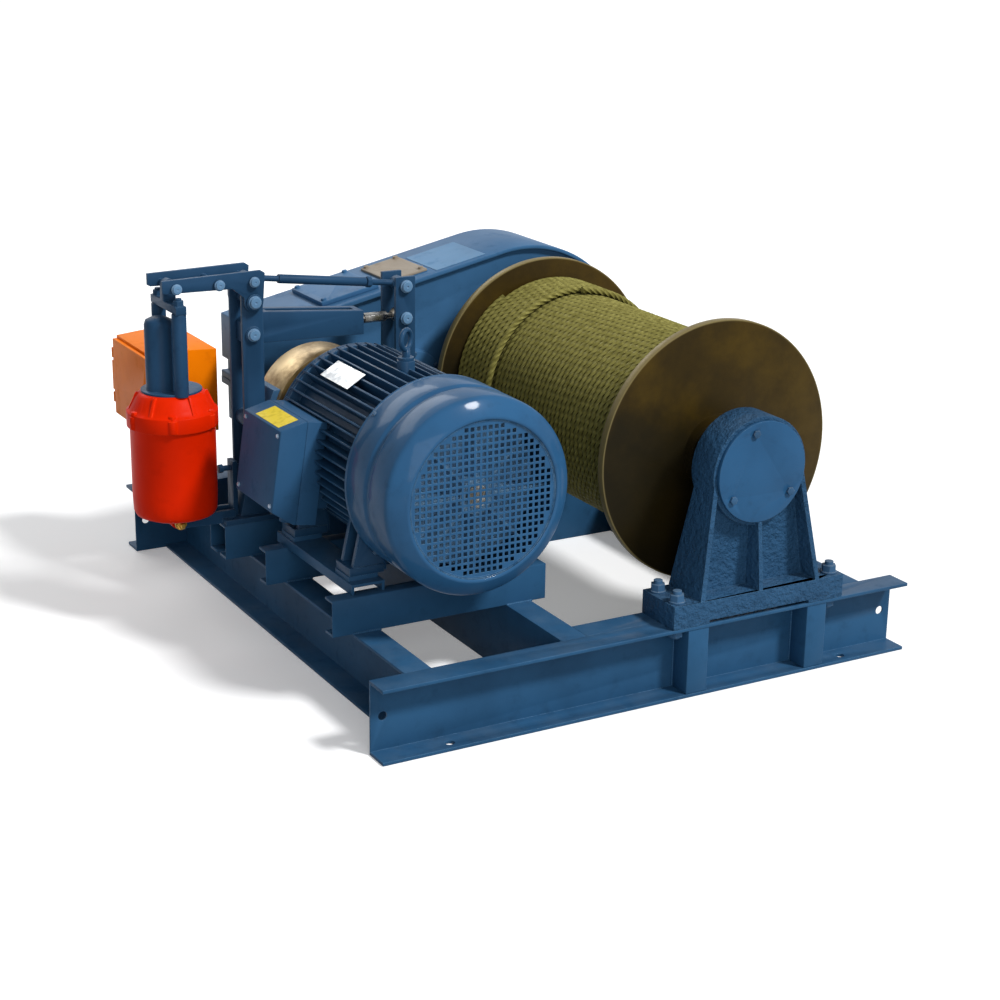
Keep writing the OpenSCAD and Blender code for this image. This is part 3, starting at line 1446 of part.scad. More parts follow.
cabinet_x = -28;
cabinet_y = 1400;
cabinet_z = 450;
door_t = 14;
post_w = 60;
door_gap = 0.5;
hinge_r = 7;
hinge_pin_r = 3;
module cabinet_section(inset) {
    polygon([[cabinet_x + inset, cabinet_z + inset], [cabinet_x + cabinet_w - inset, cabinet_z + inset],
        [cabinet_x + cabinet_w - inset, cabinet_z + cabinet_h + cabinet_rise * 0.2 - inset],
        [cabinet_x + cabinet_w * 0.4, cabinet_z + cabinet_h + cabinet_rise - inset],
        [cabinet_x + inset, cabinet_z + cabinet_h - inset]]);
}

hinge_x = cabinet_x - door_t / 2 - door_gap;
hinge_y = cabinet_y + cabinet_l + hinge_r + 2;
module control_box() {
    x = left_beam_x + channel_b / 2;
    y = cabinet_y + cabinet_l / 2;
    place() color(orange) {
        difference() {
            slab_y(cabinet_y, cabinet_y + cabinet_l) cabinet_section(0);
            slab_y(cabinet_y + cabinet_sheet, cabinet_y + cabinet_l - cabinet_sheet)
                cabinet_section(cabinet_sheet);
            box([cabinet_x - fuse, cabinet_y + 20, cabinet_z + 20],
                [cabinet_x + cabinet_sheet + fuse, cabinet_y + cabinet_l - 20, cabinet_z + cabinet_h - 20]);
        }
        box([x - post_w / 2, y - post_w / 2, channel_h], [x + post_w / 2, y + post_w / 2, cabinet_z]);
        for (z = [cabinet_z + 40, cabinet_z + cabinet_h - 70]) {
            bar_z(hinge_x, hinge_y, z, z + 30, hinge_r);
            box([hinge_x, cabinet_y + cabinet_l - fuse, z], [cabinet_x + 6, cabinet_y + cabinet_l + 4, z + 30]);
        }
        bar_z(hinge_x, hinge_y, cabinet_z + 40, cabinet_z + cabinet_h - 40, hinge_pin_r);
    }
}

module control_door() {
    place() color(orange) {
        box([cabinet_x - door_t - door_gap, cabinet_y + 4, cabinet_z + 8],
            [cabinet_x - door_gap, cabinet_y + cabinet_l - 4, cabinet_z + cabinet_h - 8]);
        translate([cabinet_x - door_t - door_gap - 16, cabinet_y + 40, cabinet_z + cabinet_h / 2])
            rotate([0, 90, 0]) cylinder(h = 17, r = 12);
        difference() {
            union() {
                bar_z(hinge_x, hinge_y, cabinet_z + 80, cabinet_z + cabinet_h - 80, hinge_r);
                box([cabinet_x - door_t - door_gap, cabinet_y + cabinet_l - 5, cabinet_z + 80],
                    [hinge_x - 1, hinge_y, cabinet_z + cabinet_h - 80]);
            }
            bar_z(hinge_x, hinge_y, cabinet_z, cabinet_z + cabinet_h, hinge_pin_r + fit);
        }
    }
}

front_beam();
back_beam();
left_side_beam();
middle_beam();
right_side_beam();
front_doubler();
gearbox_cross_members();
cross_beams();
motor_rails();
front_stiffeners();
pedestal();
pedestal_cover();
pedestal_bearing();
pedestal_bolts();
drum_shell();
near_flange();
far_flange();
drum_shaft();
rope_core();
rope_winding();
rope_clamp();
drum_gear();
gearbox_case();
gearbox_cover();
gearbox_hatches();
bearing_caps();
gearbox_bolts();
gearbox_bearings();
input_shaft();
first_gear_shaft();
second_gear_shaft();
motor_body();
drive_end_shield();
fan_end_shield();
fan_cowl();
motor_fan();
motor_rotor();
motor_stator();
motor_bearings();
terminal_box();
terminal_lid();
motor_eyebolt();
motor_bolts();
motor_coupling();
brake_wheel();
brake_base();
left_brake_arm();
right_brake_arm();
left_brake_shoe();
right_brake_shoe();
brake_lever();
tie_rod();
spring_box();
brake_spring();
spring_rod();
thruster_body();
thruster_head();
thruster_rods();
control_box();
control_door();
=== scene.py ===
import json
import math

import bmesh
import bpy
from mathutils import Matrix, Vector


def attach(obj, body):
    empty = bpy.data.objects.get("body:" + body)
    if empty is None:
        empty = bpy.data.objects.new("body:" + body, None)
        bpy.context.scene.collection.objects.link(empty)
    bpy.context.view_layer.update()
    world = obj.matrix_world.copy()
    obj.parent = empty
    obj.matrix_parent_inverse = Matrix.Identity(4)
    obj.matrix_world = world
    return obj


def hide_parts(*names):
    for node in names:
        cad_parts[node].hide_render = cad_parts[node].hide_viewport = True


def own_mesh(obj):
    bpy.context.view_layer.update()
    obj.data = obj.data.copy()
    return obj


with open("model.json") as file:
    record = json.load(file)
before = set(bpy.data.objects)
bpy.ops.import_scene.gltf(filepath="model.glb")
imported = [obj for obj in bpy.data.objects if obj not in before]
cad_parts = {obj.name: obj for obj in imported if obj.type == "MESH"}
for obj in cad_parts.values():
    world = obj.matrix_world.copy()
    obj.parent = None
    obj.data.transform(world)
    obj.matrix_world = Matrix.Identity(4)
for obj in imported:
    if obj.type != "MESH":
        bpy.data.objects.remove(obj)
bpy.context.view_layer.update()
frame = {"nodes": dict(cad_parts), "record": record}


# Camera: at the photograph's viewpoint, solved from the corners of the frame.
# It looks along the winch from its front left, a little from above.
view_turn = math.radians(-29.973)
view_rise = math.radians(18.33)
view_roll = math.radians(0.981)
back = Vector((math.sin(view_turn) * math.cos(view_rise),
               -math.cos(view_turn) * math.cos(view_rise), math.sin(view_rise)))
level = (-back).cross(Vector((0, 0, 1))).normalized()
upright = level.cross(-back)
across = math.cos(view_roll) * level + math.sin(view_roll) * upright
upwards = -math.sin(view_roll) * level + math.cos(view_roll) * upright
lens = bpy.data.cameras.new("photograph_view")
lens.sensor_fit = "HORIZONTAL"
lens.sensor_width = 36
lens.lens = 72.62
lens.shift_x = -0.01163
lens.shift_y = 0.0062
lens.clip_end = 200
camera = bpy.data.objects.new("photograph_view", lens)
bpy.context.scene.collection.objects.link(camera)
camera.matrix_world = Matrix(((across.x, upwards.x, back.x, -2.671063),
                              (across.y, upwards.y, back.y, -4.946575),
                              (across.z, upwards.z, back.z, 2.159391),
                              (0, 0, 0, 1)))
bpy.context.scene.camera = camera


# Base frame: rolled channels, welded together and painted blue along with the stand-offs
# on them. The paint is a thick semi-gloss enamel, rubbed paler along the edges and
# dusty on top.
nodes = frame["nodes"]
body_of = {node: body for body, group in frame["record"]["behaviour"]["bodies"].items()
           for node in group}


def srgb(red, green, blue):
    return tuple(((c / 255 + 0.055) / 1.055) ** 2.4 if c > 10 else c / 255 / 12.92
                 for c in (red, green, blue)) + (1.0,)


class Wire:
    """A shader socket that can stand in a Python sum."""

    def __init__(self, finish, socket):
        self.finish = finish
        self.socket = socket

    def sum(self, operation, *values):
        return self.finish.add("ShaderNodeMath", {"operation": operation}, *values)

    def __add__(self, other):
        return self.sum("ADD", self, other)

    def __sub__(self, other):
        return self.sum("SUBTRACT", self, other)

    def __rsub__(self, other):
        return self.sum("SUBTRACT", other, self)

    def __mul__(self, other):
        return self.sum("MULTIPLY", self, other)

    def __pow__(self, other):
        return self.sum("POWER", self, other)

    __radd__ = __add__
    __rmul__ = __mul__

    def sine(self):
        return self.sum("SINE", self)

    def between(self, low, high):
        """0 below low, 1 above high, and a smooth step between them."""
        return self.finish.add("ShaderNodeMapRange", {"interpolation_type": "SMOOTHSTEP"},
                               self, low, high)


class Finish:
    """A material around one Principled shader."""

    def __init__(self, name, **settings):
        self.material = bpy.data.materials.new(name)
        self.material.use_nodes = True
        self.tree = self.material.node_tree
        self.shader = self.tree.nodes["Principled BSDF"]
        self.place = self.add("ShaderNodeTexCoord", output="Object")
        self.put(**settings)

    def add(self, kind, settings=None, *values, output=0, **named):
        """One node with its settings first, then values or links on its sockets."""
        node = self.tree.nodes.new(kind)
        for key, value in (settings or {}).items():
            setattr(node, key, value)
        for socket, value in list(zip(node.inputs, values)) + [
                (node.inputs[key.replace("_", " ")], value) for key, value in named.items()]:
            self.join(socket, value)
        return Wire(self, node.outputs[output])

    def join(self, socket, value):
        if isinstance(value, Wire):
            self.tree.links.new(value.socket, socket)
        elif value is not None:
            socket.default_value = value

    def put(self, **sockets):
        for key, value in sockets.items():
            self.join(self.shader.inputs[key.replace("_", " ")], value)

    def mix(self, share, first, second):
        """A colour between two others."""
        return self.add("ShaderNodeMix", {"data_type": "RGBA"}, share, None, None, None, None,
                        None, first, second, output=2)

    def noise(self, scale, detail=2.0, rough=0.5, at=None):
        return self.add("ShaderNodeTexNoise", None, Vector=at or self.place, Scale=scale,
                        Detail=detail, Roughness=rough)

    def edges(self, reach):
        """1 on outer edges and 0 on flat places, with the rounded normal."""
        rounded = self.add("ShaderNodeBevel", {"samples": 4}, reach)
        plain = self.add("ShaderNodeNewGeometry", output="Normal")
        return 1 - self.add("ShaderNodeVectorMath", {"operation": "DOT_PRODUCT"}, rounded, plain,
                            output="Value"), rounded

    def facing_up(self):
        normal = self.add("ShaderNodeNewGeometry", output="Normal")
        return self.add("ShaderNodeSeparateXYZ", None, normal, output="Z")

    def bump(self, height, strength, distance, normal=None):
        self.put(Normal=self.add("ShaderNodeBump", None, Strength=strength, Distance=distance,
                                 Height=height, Normal=normal))


def enamel(name, colour, pale, dark, cast=0.0, gloss=0.4, dust=0.25, coat=0.0, shine=0.08):
    """Brushed or sprayed enamel: patchy, with pale rubbed edges, grime and dust.

    cast roughens it like sand casting, gloss is its roughness, and coat and shine are the
    strengths of a clear layer on it and of its own reflections.
    """
    finish = Finish(name, Coat_Weight=coat, Coat_Roughness=0.08, Specular_IOR_Level=shine)
    patches = finish.noise(5.0, 3.0, 0.55).between(0.35, 0.7)
    grime = finish.noise(19.0, 5.0, 0.65).between(0.52, 0.75)
    specks = finish.noise(160.0, 3.0, 0.6)
    rim, rounded = finish.edges(0.0022)
    rubbed = rim.between(0.03, 0.22) * finish.noise(45.0, 3.0, 0.6).between(0.3, 0.6)
    top = finish.facing_up().between(0.6, 0.95) * finish.noise(9.0, 4.0, 0.6).between(0.35, 0.7)
    tone = finish.mix(patches * 0.3, colour, dark)
    tone = finish.mix(grime * 0.3, tone, dark)
    tone = finish.mix(top * dust, tone, srgb(128, 140, 146))
    tone = finish.mix(rubbed * 0.75, tone, pale)
    finish.put(Base_Color=tone, Roughness=gloss + 0.12 * grime + 0.2 * top * dust - 0.08 * rubbed)
    finish.bump(specks * 0.25 + finish.noise(60.0, 4.0, 0.6) * (0.3 + cast), 0.35 + 0.3 * cast,
                0.0012 + 0.002 * cast, rounded)
    return finish.material


BLUE = srgb(44, 86, 122)
PALE_BLUE = srgb(104, 144, 178)
DEEP_BLUE = srgb(24, 48, 72)
frame_blue = enamel("frame_blue", BLUE, PALE_BLUE, DEEP_BLUE, dust=0.1)


def link(name, mesh):
    made = bpy.data.objects.new(name, mesh)
    bpy.context.scene.collection.objects.link(made)
    return made


def shade(mesh, angle=32):
    """Smooth over curved faces, with crisp creases."""
    for polygon in mesh.polygons:
        polygon.use_smooth = True
    mesh.set_sharp_from_angle(angle=math.radians(angle))


def settle(made, finish, body, angle=32):
    """Gives a piece its finish and the body that carries it."""
    shade(made.data, angle)
    made.data.materials.clear()
    made.data.materials.append(finish)
    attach(made, body)
    return made


same_point = 2e-5
flat_enough = math.radians(0.8)
rounded_from = math.radians(50)


def dress(node, finish, edge=0.0016):
    """A CAD node's own shape with its corners rounded off, as on a real casting or plate."""
    mesh = nodes[node].data.copy()
    shape = bmesh.new()
    shape.from_mesh(mesh)
    bmesh.ops.remove_doubles(shape, verts=shape.verts, dist=same_point)
    bmesh.ops.dissolve_limit(shape, angle_limit=flat_enough, verts=shape.verts,
                             edges=shape.edges)
    shape.to_mesh(mesh)
    shape.free()
    made = link(node + "_finished", mesh)
    mesh.materials.clear()
    mesh.materials.append(finish)
    if edge:
        round_off = made.modifiers.new("round_off", "BEVEL")
        round_off.width = edge
        round_off.segments = 2
        round_off.limit_method = "ANGLE"
        round_off.angle_limit = rounded_from
        round_off.use_clamp_overlap = True
        bpy.context.view_layer.update()
        graph = bpy.context.evaluated_depsgraph_get()
        finished = bpy.data.meshes.new_from_object(made.evaluated_get(graph))
        made.modifiers.remove(round_off)
        made.data = finished
        low, high = nodes[node].bound_box[0], nodes[node].bound_box[6]
        for vertex in finished.vertices:
            vertex.co = [min(max(c, a), b) for c, a, b in zip(vertex.co, low, high)]
    settle(made, finish, body_of[node])
    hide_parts(node)
    return made


for beam in ("front_beam", "back_beam", "left_side_beam", "middle_beam", "right_side_beam",
             "front_doubler", "gearbox_cross_members", "cross_beams", "motor_rails",
             "front_stiffeners"):
    dress(beam, frame_blue)


def at(x, y, z):
    """A point of the winch's layout, in millimetres from the front beam's left end."""
    return Vector(((x - 697) / 1000, (y - 841) / 1000, z / 1000))


# Weld seams: runs of bead where the channels and plates of the base meet, laid by hand,
# so each ripple overlaps the last. They are painted over with the frame.
repeat = bpy.data.node_groups.new("repeat_on_points", "GeometryNodeTree")
for label, kind in (("Points", "NodeSocketGeometry"), ("Part", "NodeSocketObject"),
                    ("Size", "NodeSocketFloat"), ("Finish", "NodeSocketMaterial")):
    repeat.interface.new_socket(label, in_out="INPUT", socket_type=kind)
repeat.interface.new_socket("Result", in_out="OUTPUT", socket_type="NodeSocketGeometry")
repeat_input = {item.name: item.identifier for item in repeat.interface.items_tree
                if item.in_out == "INPUT"}
grow = repeat.nodes.new
given = grow("NodeGroupInput")
shown = grow("NodeGroupOutput")
part = grow("GeometryNodeObjectInfo")
aim = grow("GeometryNodeInputNamedAttribute")
aim.data_type = "FLOAT_VECTOR"
aim.inputs["Name"].default_value = "aim"
face = grow("FunctionNodeAlignRotationToVector")
face.axis = "Z"
place = grow("GeometryNodeInstanceOnPoints")
solid = grow("GeometryNodeRealizeInstances")
coat = grow("GeometryNodeSetMaterial")
for start, end in ((given.outputs["Points"], place.inputs["Points"]),
                   (given.outputs["Part"], part.inputs["Object"]),
                   (part.outputs["Geometry"], place.inputs["Instance"]),
                   (aim.outputs["Attribute"], face.inputs["Vector"]),
                   (face.outputs["Rotation"], place.inputs["Rotation"]),
                   (given.outputs["Size"], place.inputs["Scale"]),
                   (place.outputs["Instances"], solid.inputs["Geometry"]),
                   (solid.outputs["Geometry"], coat.inputs["Geometry"]),
                   (given.outputs["Finish"], coat.inputs["Material"]),
                   (coat.outputs["Geometry"], shown.inputs["Result"])):
    repeat.links.new(start, end)


def repeated(name, points, sample, finish, body, size=1.0, angle=32):
    """Puts a sample at each of some (place, direction) pairs, as one piece."""
    mesh = bpy.data.meshes.new(name)
    mesh.from_pydata([tuple(p) for p, _ in points], [], [])
    ways = mesh.attributes.new("aim", "FLOAT_VECTOR", "POINT")
    ways.data.foreach_set("vector", [c for _, d in points for c in d])
    made = link(name, mesh)
    grown = made.modifiers.new("repeat", "NODES")
    grown.node_group = repeat
    grown[repeat_input["Part"]] = sample
    grown[repeat_input["Size"]] = size
    grown[repeat_input["Finish"]] = finish
    bpy.context.view_layer.update()
    graph = bpy.context.evaluated_depsgraph_get()
    result = bpy.data.meshes.new_from_object(made.evaluated_get(graph))
    made.modifiers.remove(grown)
    made.data = result
    for extra in list(result.attributes):
        if extra.name == "aim":
            result.attributes.remove(extra)
    return settle(made, finish, body, angle)


samples = []


def sample_of(name, build):
    """A small shape to repeat, built about the origin and pointing up."""
    shape = bmesh.new()
    build(shape)
    bmesh.ops.recalc_face_normals(shape, faces=shape.faces)
    mesh = bpy.data.meshes.new(name)
    shape.to_mesh(mesh)
    shape.free()
    made = bpy.data.objects.new(name, mesh)
    samples.append(made)
    return made


def lathe(shape, profile, sides=24, turn=0.0, lobes=None):
    """Turns a profile of (radius, height) pairs about Z into a closed skin."""
    rings = []
    for radius, height in profile:
        if radius < 1e-7:
            rings.append([shape.verts.new((0, 0, height))])
            continue
        rings.append([shape.verts.new((radius * math.cos(turn + 2 * math.pi * k / sides),
                                       radius * math.sin(turn + 2 * math.pi * k / sides), height))
                      for k in range(sides)])
    for low, high in zip(rings, rings[1:]):
        for k in range(sides):
            quad = [low[k % len(low)], low[(k + 1) % len(low)],
                    high[(k + 1) % len(high)], high[k % len(high)]]
            corners = [v for i, v in enumerate(quad) if v not in quad[:i]]
            if len(corners) > 2:
                shape.faces.new(corners)


def ripple(shape):
    lathe(shape, [(0, -0.004), (0.0035, -0.002), (0.0042, 0), (0.003, 0.0025), (0, 0.0032)], 8)


bead = sample_of("bead", ripple)
bead_step = 0.005
seams = []


def seam(start, end, way):
    """Beads from one layout point to another, facing out of the corner."""
    start, end = at(*start), at(*end)
    count = max(2, int((end - start).length / bead_step))
    way = Vector(way).normalized()
    seams.extend((start.lerp(end, i / count), way) for i in range(count + 1))


drum_at, stiffener_off, stiffener_half = 1122, 195, 32.5
for side in (-1, 1):
    for out in (-1, 1):
        edge_x = drum_at + side * stiffener_off + out * stiffener_half
        seam((edge_x, -6, 12), (edge_x, -6, 188), (out, -1, 0))
seam((550, 5, 195), (550, 5, 60), (-1, 1, 0))
for y in (288, 719, 962, 1080):
    seam((96, y, 201), (172, y, 201), (0, -1, 1))
    seam((551, y, 201), (625, y, 201), (0, -1, 1))
for y in (334, 765):
    seam((97, y, 201), (171, y, 201), (0, 1, 1))
repeated("weld_seams", seams, bead, frame_blue, "base", angle=60)


# Pedestal: a cast stand on the front beam for the drum shaft's outer bearing, with a
# round cover held by three bolts. Four bolts with double nuts hold it down.
cast_blue = enamel("cast_blue", srgb(46, 84, 118), PALE_BLUE, DEEP_BLUE, cast=2.2, gloss=0.5,
                   dust=0.1)
smooth_blue = enamel("smooth_blue", srgb(44, 90, 130), PALE_BLUE, srgb(28, 58, 88), gloss=0.3,
                     dust=0.03, coat=0.14, shine=0.03)
dress("pedestal", cast_blue, 0.003)
dress("pedestal_cover", smooth_blue, 0.003)

worn_zinc = Finish("worn_zinc", Metallic=0.75)
tarnish = worn_zinc.noise(70.0, 4.0, 0.6).between(0.35, 0.7)
worn_zinc.put(Base_Color=worn_zinc.mix(tarnish, srgb(176, 194, 210), srgb(92, 116, 140)),
              Roughness=0.32 + 0.25 * tarnish)
worn_zinc.bump(worn_zinc.noise(240.0, 3.0), 0.25, 0.0006)
painted_steel = enamel("painted_steel", srgb(58, 94, 128), srgb(160, 170, 176),
                       srgb(28, 44, 62), gloss=0.4)
dress("pedestal_bolts", painted_steel, 0.0012)


def hexagon(shape):
    """A bolt head 20 mm across its corners on a washer."""
    lathe(shape, [(0, -0.001), (0.0115, -0.001), (0.0115, 0.0012), (0.0112, 0.0014), (0, 0.0014)],
          20)
    lathe(shape, [(0, 0.0013), (0.0092, 0.0013), (0.0098, 0.002), (0.0098, 0.0066),
                  (0.0086, 0.0076), (0, 0.0078)], 6)


head = sample_of("head", hexagon)


def nut(shape):
    """A nut on the end of its bolt, 20 mm across its corners."""
    hexagon(shape)
    lathe(shape, [(0.0001, 0.0077), (0.0052, 0.0077), (0.0052, 0.0125), (0.0042, 0.0136),
                  (0, 0.0136)], 14)


stud = sample_of("stud", nut)


def pin_head(shape):
    """The round end of a hinge pin on a washer, 22 mm across, with a centre mark."""
    lathe(shape, [(0, -0.001), (0.0125, -0.001), (0.0125, 0.0011), (0.0122, 0.0014), (0, 0.0014)],
          24)
    lathe(shape, [(0, 0.0013), (0.0104, 0.0013), (0.0104, 0.0044), (0.0094, 0.0058),
                  (0.0026, 0.0062), (0.0012, 0.0048), (0, 0.0048)], 24)


pin_end = sample_of("pin_end", pin_head)


# Drum: a plain barrel between two turned flanges. The flanges have only a thin olive-brown
# primer darkened in patches by grease. Painted shade darkens their lower left, where the
# pedestal's shadow falls, and a lighter ring along their rims is a painted highlight.
primer = Finish("drum_primer", Metallic=0.2, Specular_IOR_Level=0.1)
drum_x, shaft_z = 0.425, 0.590
centred = primer.add("ShaderNodeMapping", None, primer.place, (-drum_x, 0, -shaft_z))
spread = primer.add("ShaderNodeSeparateXYZ", None, centred)
spread_z = primer.add("ShaderNodeSeparateXYZ", None, centred, output="Z")
from_axis = (spread * spread + spread_z * spread_z) ** 0.5
turning = (from_axis * 2200.0).sine() * 0.5 + primer.noise(30.0, 2.0)
streaks = primer.noise(6.0, 6.0, 0.7).between(0.3, 0.7)
# Painted highlight: a lighter ring along the flanges' rims.
painted_rim_highlight = from_axis.between(0.3575, 0.3625)
grease = primer.noise(3.2, 4.0, 0.6).between(0.4, 0.65)
primer_tone = primer.mix(streaks, srgb(70, 54, 14), srgb(50, 38, 10))
# Painted shade: the flanges are darkened towards their lower left, standing for the pedestal's
# shadow.
painted_shade_lower_left = (spread * -0.5 - spread_z + grease * 0.12).between(-0.12, 0.2)
primer_tone = primer.mix(grease * 0.6, primer_tone, srgb(34, 26, 8))
primer_tone = primer.mix(painted_shade_lower_left * 0.75, primer_tone, srgb(18, 17, 8))
primer_tone = primer.mix(painted_rim_highlight * 0.7, primer_tone, srgb(140, 126, 84))
primer.put(Base_Color=primer_tone, Roughness=0.34 + 0.16 * streaks)
primer.bump(turning, 0.12, 0.0008)
for flange in ("near_flange", "far_flange", "drum_shell"):
    dress(flange, primer.material, 0.002)

turned_steel = Finish("turned_steel", Metallic=1.0)
oil = turned_steel.noise(25.0, 4.0, 0.6).between(0.4, 0.7)
turned_steel.put(Base_Color=turned_steel.mix(oil, srgb(168, 168, 165), srgb(110, 102, 88)),
                 Roughness=0.25 + 0.2 * oil)
turned_steel.bump(turned_steel.noise(300.0, 2.0), 0.15, 0.0005)
dress("drum_shaft", turned_steel.material, 0.001)


# Rope: one steel wire rope of six strands, 22 mm thick. A full layer lies on the barrel and
# a part layer beside the far flange, which ends in the rope's free end.
rope_finish = Finish("greased_rope", Metallic=0.2, Specular_IOR_Level=0.1)
soil = rope_finish.noise(60.0, 4.0, 0.6).between(0.35, 0.72)
wires = (rope_finish.add("ShaderNodeTexWave", {"bands_direction": "DIAGONAL"},
                         Vector=rope_finish.place, Scale=230.0, Distortion=2.0))
# Painted shade: ambient occlusion darkens the hollows between the strands.
painted_crevice_shade = 1 - rope_finish.add("ShaderNodeAmbientOcclusion", {"samples": 6}, Distance=0.012,
                             output="AO").between(0.35, 0.85)
rope_tone = rope_finish.mix(soil * 0.6, srgb(146, 140, 76), srgb(94, 88, 34))
rope_tone = rope_finish.mix(wires * 0.3, rope_tone, srgb(48, 42, 14))
rope_tone = rope_finish.mix(painted_crevice_shade * 0.85, rope_tone, srgb(24, 22, 8))
rope_finish.put(Base_Color=rope_tone, Roughness=0.42 + 0.2 * soil)
rope_finish.bump(wires, 0.4, 0.0006)
rope_r, valley_r = 0.011, 0.0077
strand_count = 6
lay = 0.135


def strands(name, route):
    """A six-strand rope along a list of (point, outward direction) rings."""
    rings, faces = [], []
    run = 0.0
    count = 2 * strand_count
    for i, (point, out) in enumerate(route):
        if i:
            run += (point - route[i - 1][0]).length
        ahead = (route[min(i + 1, len(route) - 1)][0] - route[max(i - 1, 0)][0]).normalized()
        side = ahead.cross(out).normalized()
        lift = side.cross(ahead)
        for k in range(count):
            angle = 2 * math.pi * (k / count + run / lay)
            radius = rope_r if k % 2 == 0 else valley_r
            rings.append(point + radius * (math.cos(angle) * lift + math.sin(angle) * side))
        if i:
            low = (i - 1) * count
            for k in range(count):
                faces.append((low + k, low + (k + 1) % count, low + count + (k + 1) % count,
                              low + count + k))
    last = (len(route) - 1) * count
    faces.append(tuple(range(count))[::-1])
    faces.append(tuple(last + k for k in range(count)))
    mesh = bpy.data.meshes.new(name)
    mesh.from_pydata([tuple(r) for r in rings], [], faces)
    return link(name, mesh)


def coil(radius, start_y, end_y, start_angle, turns, steps, tail=0.0):
    """Points of a layer of rope about the drum, with a straight free end."""
    route = []
    for i in range(int(turns * steps) + 1):
        share = i / (turns * steps)
        angle = start_angle + 2 * math.pi * turns * share
        out = Vector((math.cos(angle), 0, math.sin(angle)))
        route.append((Vector((drum_x, 0, shaft_z)) + radius * out
                      + Vector((0, start_y + (end_y - start_y) * share, 0)), out))
    if tail:
        droop = 1.2
        (point, out), (before, _) = route[-1], route[-2]
        ahead = (point - before).normalized()
        for i in range(1, 8):
            reach = tail * i / 7
            route.append((point + ahead * reach - out * (droop * reach * reach), out))
    return route


rope_start = at(0, 184, 0).y + rope_r
rope_step = at(0, 888, 0).y
rope_end = at(0, 1076, 0).y - rope_r
under_r, top_r = 0.279, 0.3
under = strands("rope_under_layer",
                coil(under_r, rope_start, rope_step + 0.05, 0.3, 34.2, 150))
settle(under, rope_finish.material, "drum", 60)
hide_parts("rope_winding")
upper = strands("rope_top_layer",
                coil(top_r, rope_end, rope_step - 0.008, 2.1, 7.88, 160, tail=0.07))
settle(upper, rope_finish.material, "drum", 60)
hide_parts("rope_winding")

bed = bmesh.new()
ridges, bed_r, ridge_high, barrel_r = 41, 0.266, 0.003, 0.2285
profile = []
for i in range(ridges * 4 + 1):
    along = rope_start - rope_r + (rope_end - rope_start + 2 * rope_r) * i / (ridges * 4)
    profile.append((bed_r + ridge_high * (i % 4 in (1, 2, 3)), along))
lathe(bed, [(barrel_r, profile[0][1])] + profile + [(barrel_r, profile[-1][1]),
                                                    (barrel_r, profile[0][1])], 96)
bmesh.ops.remove_doubles(bed, verts=bed.verts, dist=1e-6)
bed.transform(Matrix.Translation((drum_x, 0, shaft_z))
              @ Matrix.Rotation(math.radians(-90), 4, "X"))
bmesh.ops.recalc_face_normals(bed, faces=bed.faces)
bed_mesh = bpy.data.meshes.new("rope_bed")
bed.to_mesh(bed_mesh)
bed.free()
rope_bed = settle(link("rope_bed", bed_mesh), rope_finish.material, "drum", 60)
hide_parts("rope_core")
dress("rope_clamp", frame_blue, 0.002)


# Gearbox: a split fabricated case with a sloping top, bolted around its split, with
# bearing caps, an inspection cover, a bare beige plate and a breather on top.
case_blue = enamel("case_blue", srgb(60, 104, 144), PALE_BLUE, srgb(38, 72, 104), gloss=0.42,
                   dust=0.03)
for casting in ("gearbox_case", "gearbox_cover", "bearing_caps"):
    dress(casting, case_blue, 0.003)
dress("gearbox_bolts", painted_steel, 0.001)
for inner in ("gearbox_bearings", "input_shaft", "first_gear_shaft", "second_gear_shaft",
              "drum_gear", "pedestal_bearing", "motor_bearings", "motor_rotor"):
    nodes[inner].data.materials.clear()
    nodes[inner].data.materials.append(turned_steel.material)
beige = enamel("beige_plate", srgb(150, 138, 122), srgb(196, 190, 178), srgb(96, 84, 70),
               gloss=0.45, dust=0.1)
hatches = dress("gearbox_hatches", case_blue, 0.002)
hatches.data.materials.append(beige)
plate_start = at(660, 0, 0).x
for polygon in hatches.data.polygons:
    if polygon.center.x > plate_start:
        polygon.material_index = 1

caps = ((355, 52), (500, 62), (732, 82), (1122, 124))
split_bolts = []
for x in range(300, 780, 80):
    for y in (1207.5, 1492.5):
        if min(abs(x - shaft) for shaft, _ in caps) > 34:
            split_bolts.append((at(x, y, 610), (0, 0, 1)))
repeated("split_bolts", split_bolts, stud, painted_steel, "base", 0.9)

cap_screws = []
for x, radius in caps:
    for k in range(6):
        angle = math.radians(30 + 60 * k)
        spot = (x + radius * math.cos(angle), 590 + radius * math.sin(angle))
        cap_screws.append((at(spot[0], 1188, spot[1]), (0, -1, 0)))
        cap_screws.append((at(spot[0], 1512, spot[1]), (0, 1, 0)))
repeated("cap_screws", cap_screws, head, painted_steel, "base", 0.62)


# Motor: a finned cast body with feet, two end shields, a pressed fan cowl with a square
# hole grille, and a terminal box with a bevelled lid on its left side.
motor_blue = enamel("motor_blue", srgb(34, 70, 102), srgb(130, 166, 196), srgb(18, 40, 62),
                    gloss=0.36, dust=0.03, shine=0.12)
for casting in ("motor_body", "drive_end_shield", "fan_end_shield"):
    dress(casting, motor_blue, 0.0015)
dress("motor_eyebolt", motor_blue, 0.0)
dress("motor_bolts", painted_steel, 0.001)
copper = Finish("varnished_copper", Metallic=0.8)
varnish = copper.noise(40.0, 4.0).between(0.4, 0.7)
copper.put(Base_Color=copper.mix(varnish, srgb(170, 100, 56), srgb(96, 52, 28)), Roughness=0.35)
nodes["motor_stator"].data.materials.clear()
nodes["motor_stator"].data.materials.append(copper.material)
fan_paint = Finish("fan_casting")
fan_dust = fan_paint.noise(30.0, 4.0).between(0.4, 0.7)
fan_paint.put(Base_Color=fan_paint.mix(fan_dust, srgb(126, 170, 208), srgb(80, 116, 150)),
              Roughness=0.5)
dress("motor_fan", fan_paint.material, 0.001)

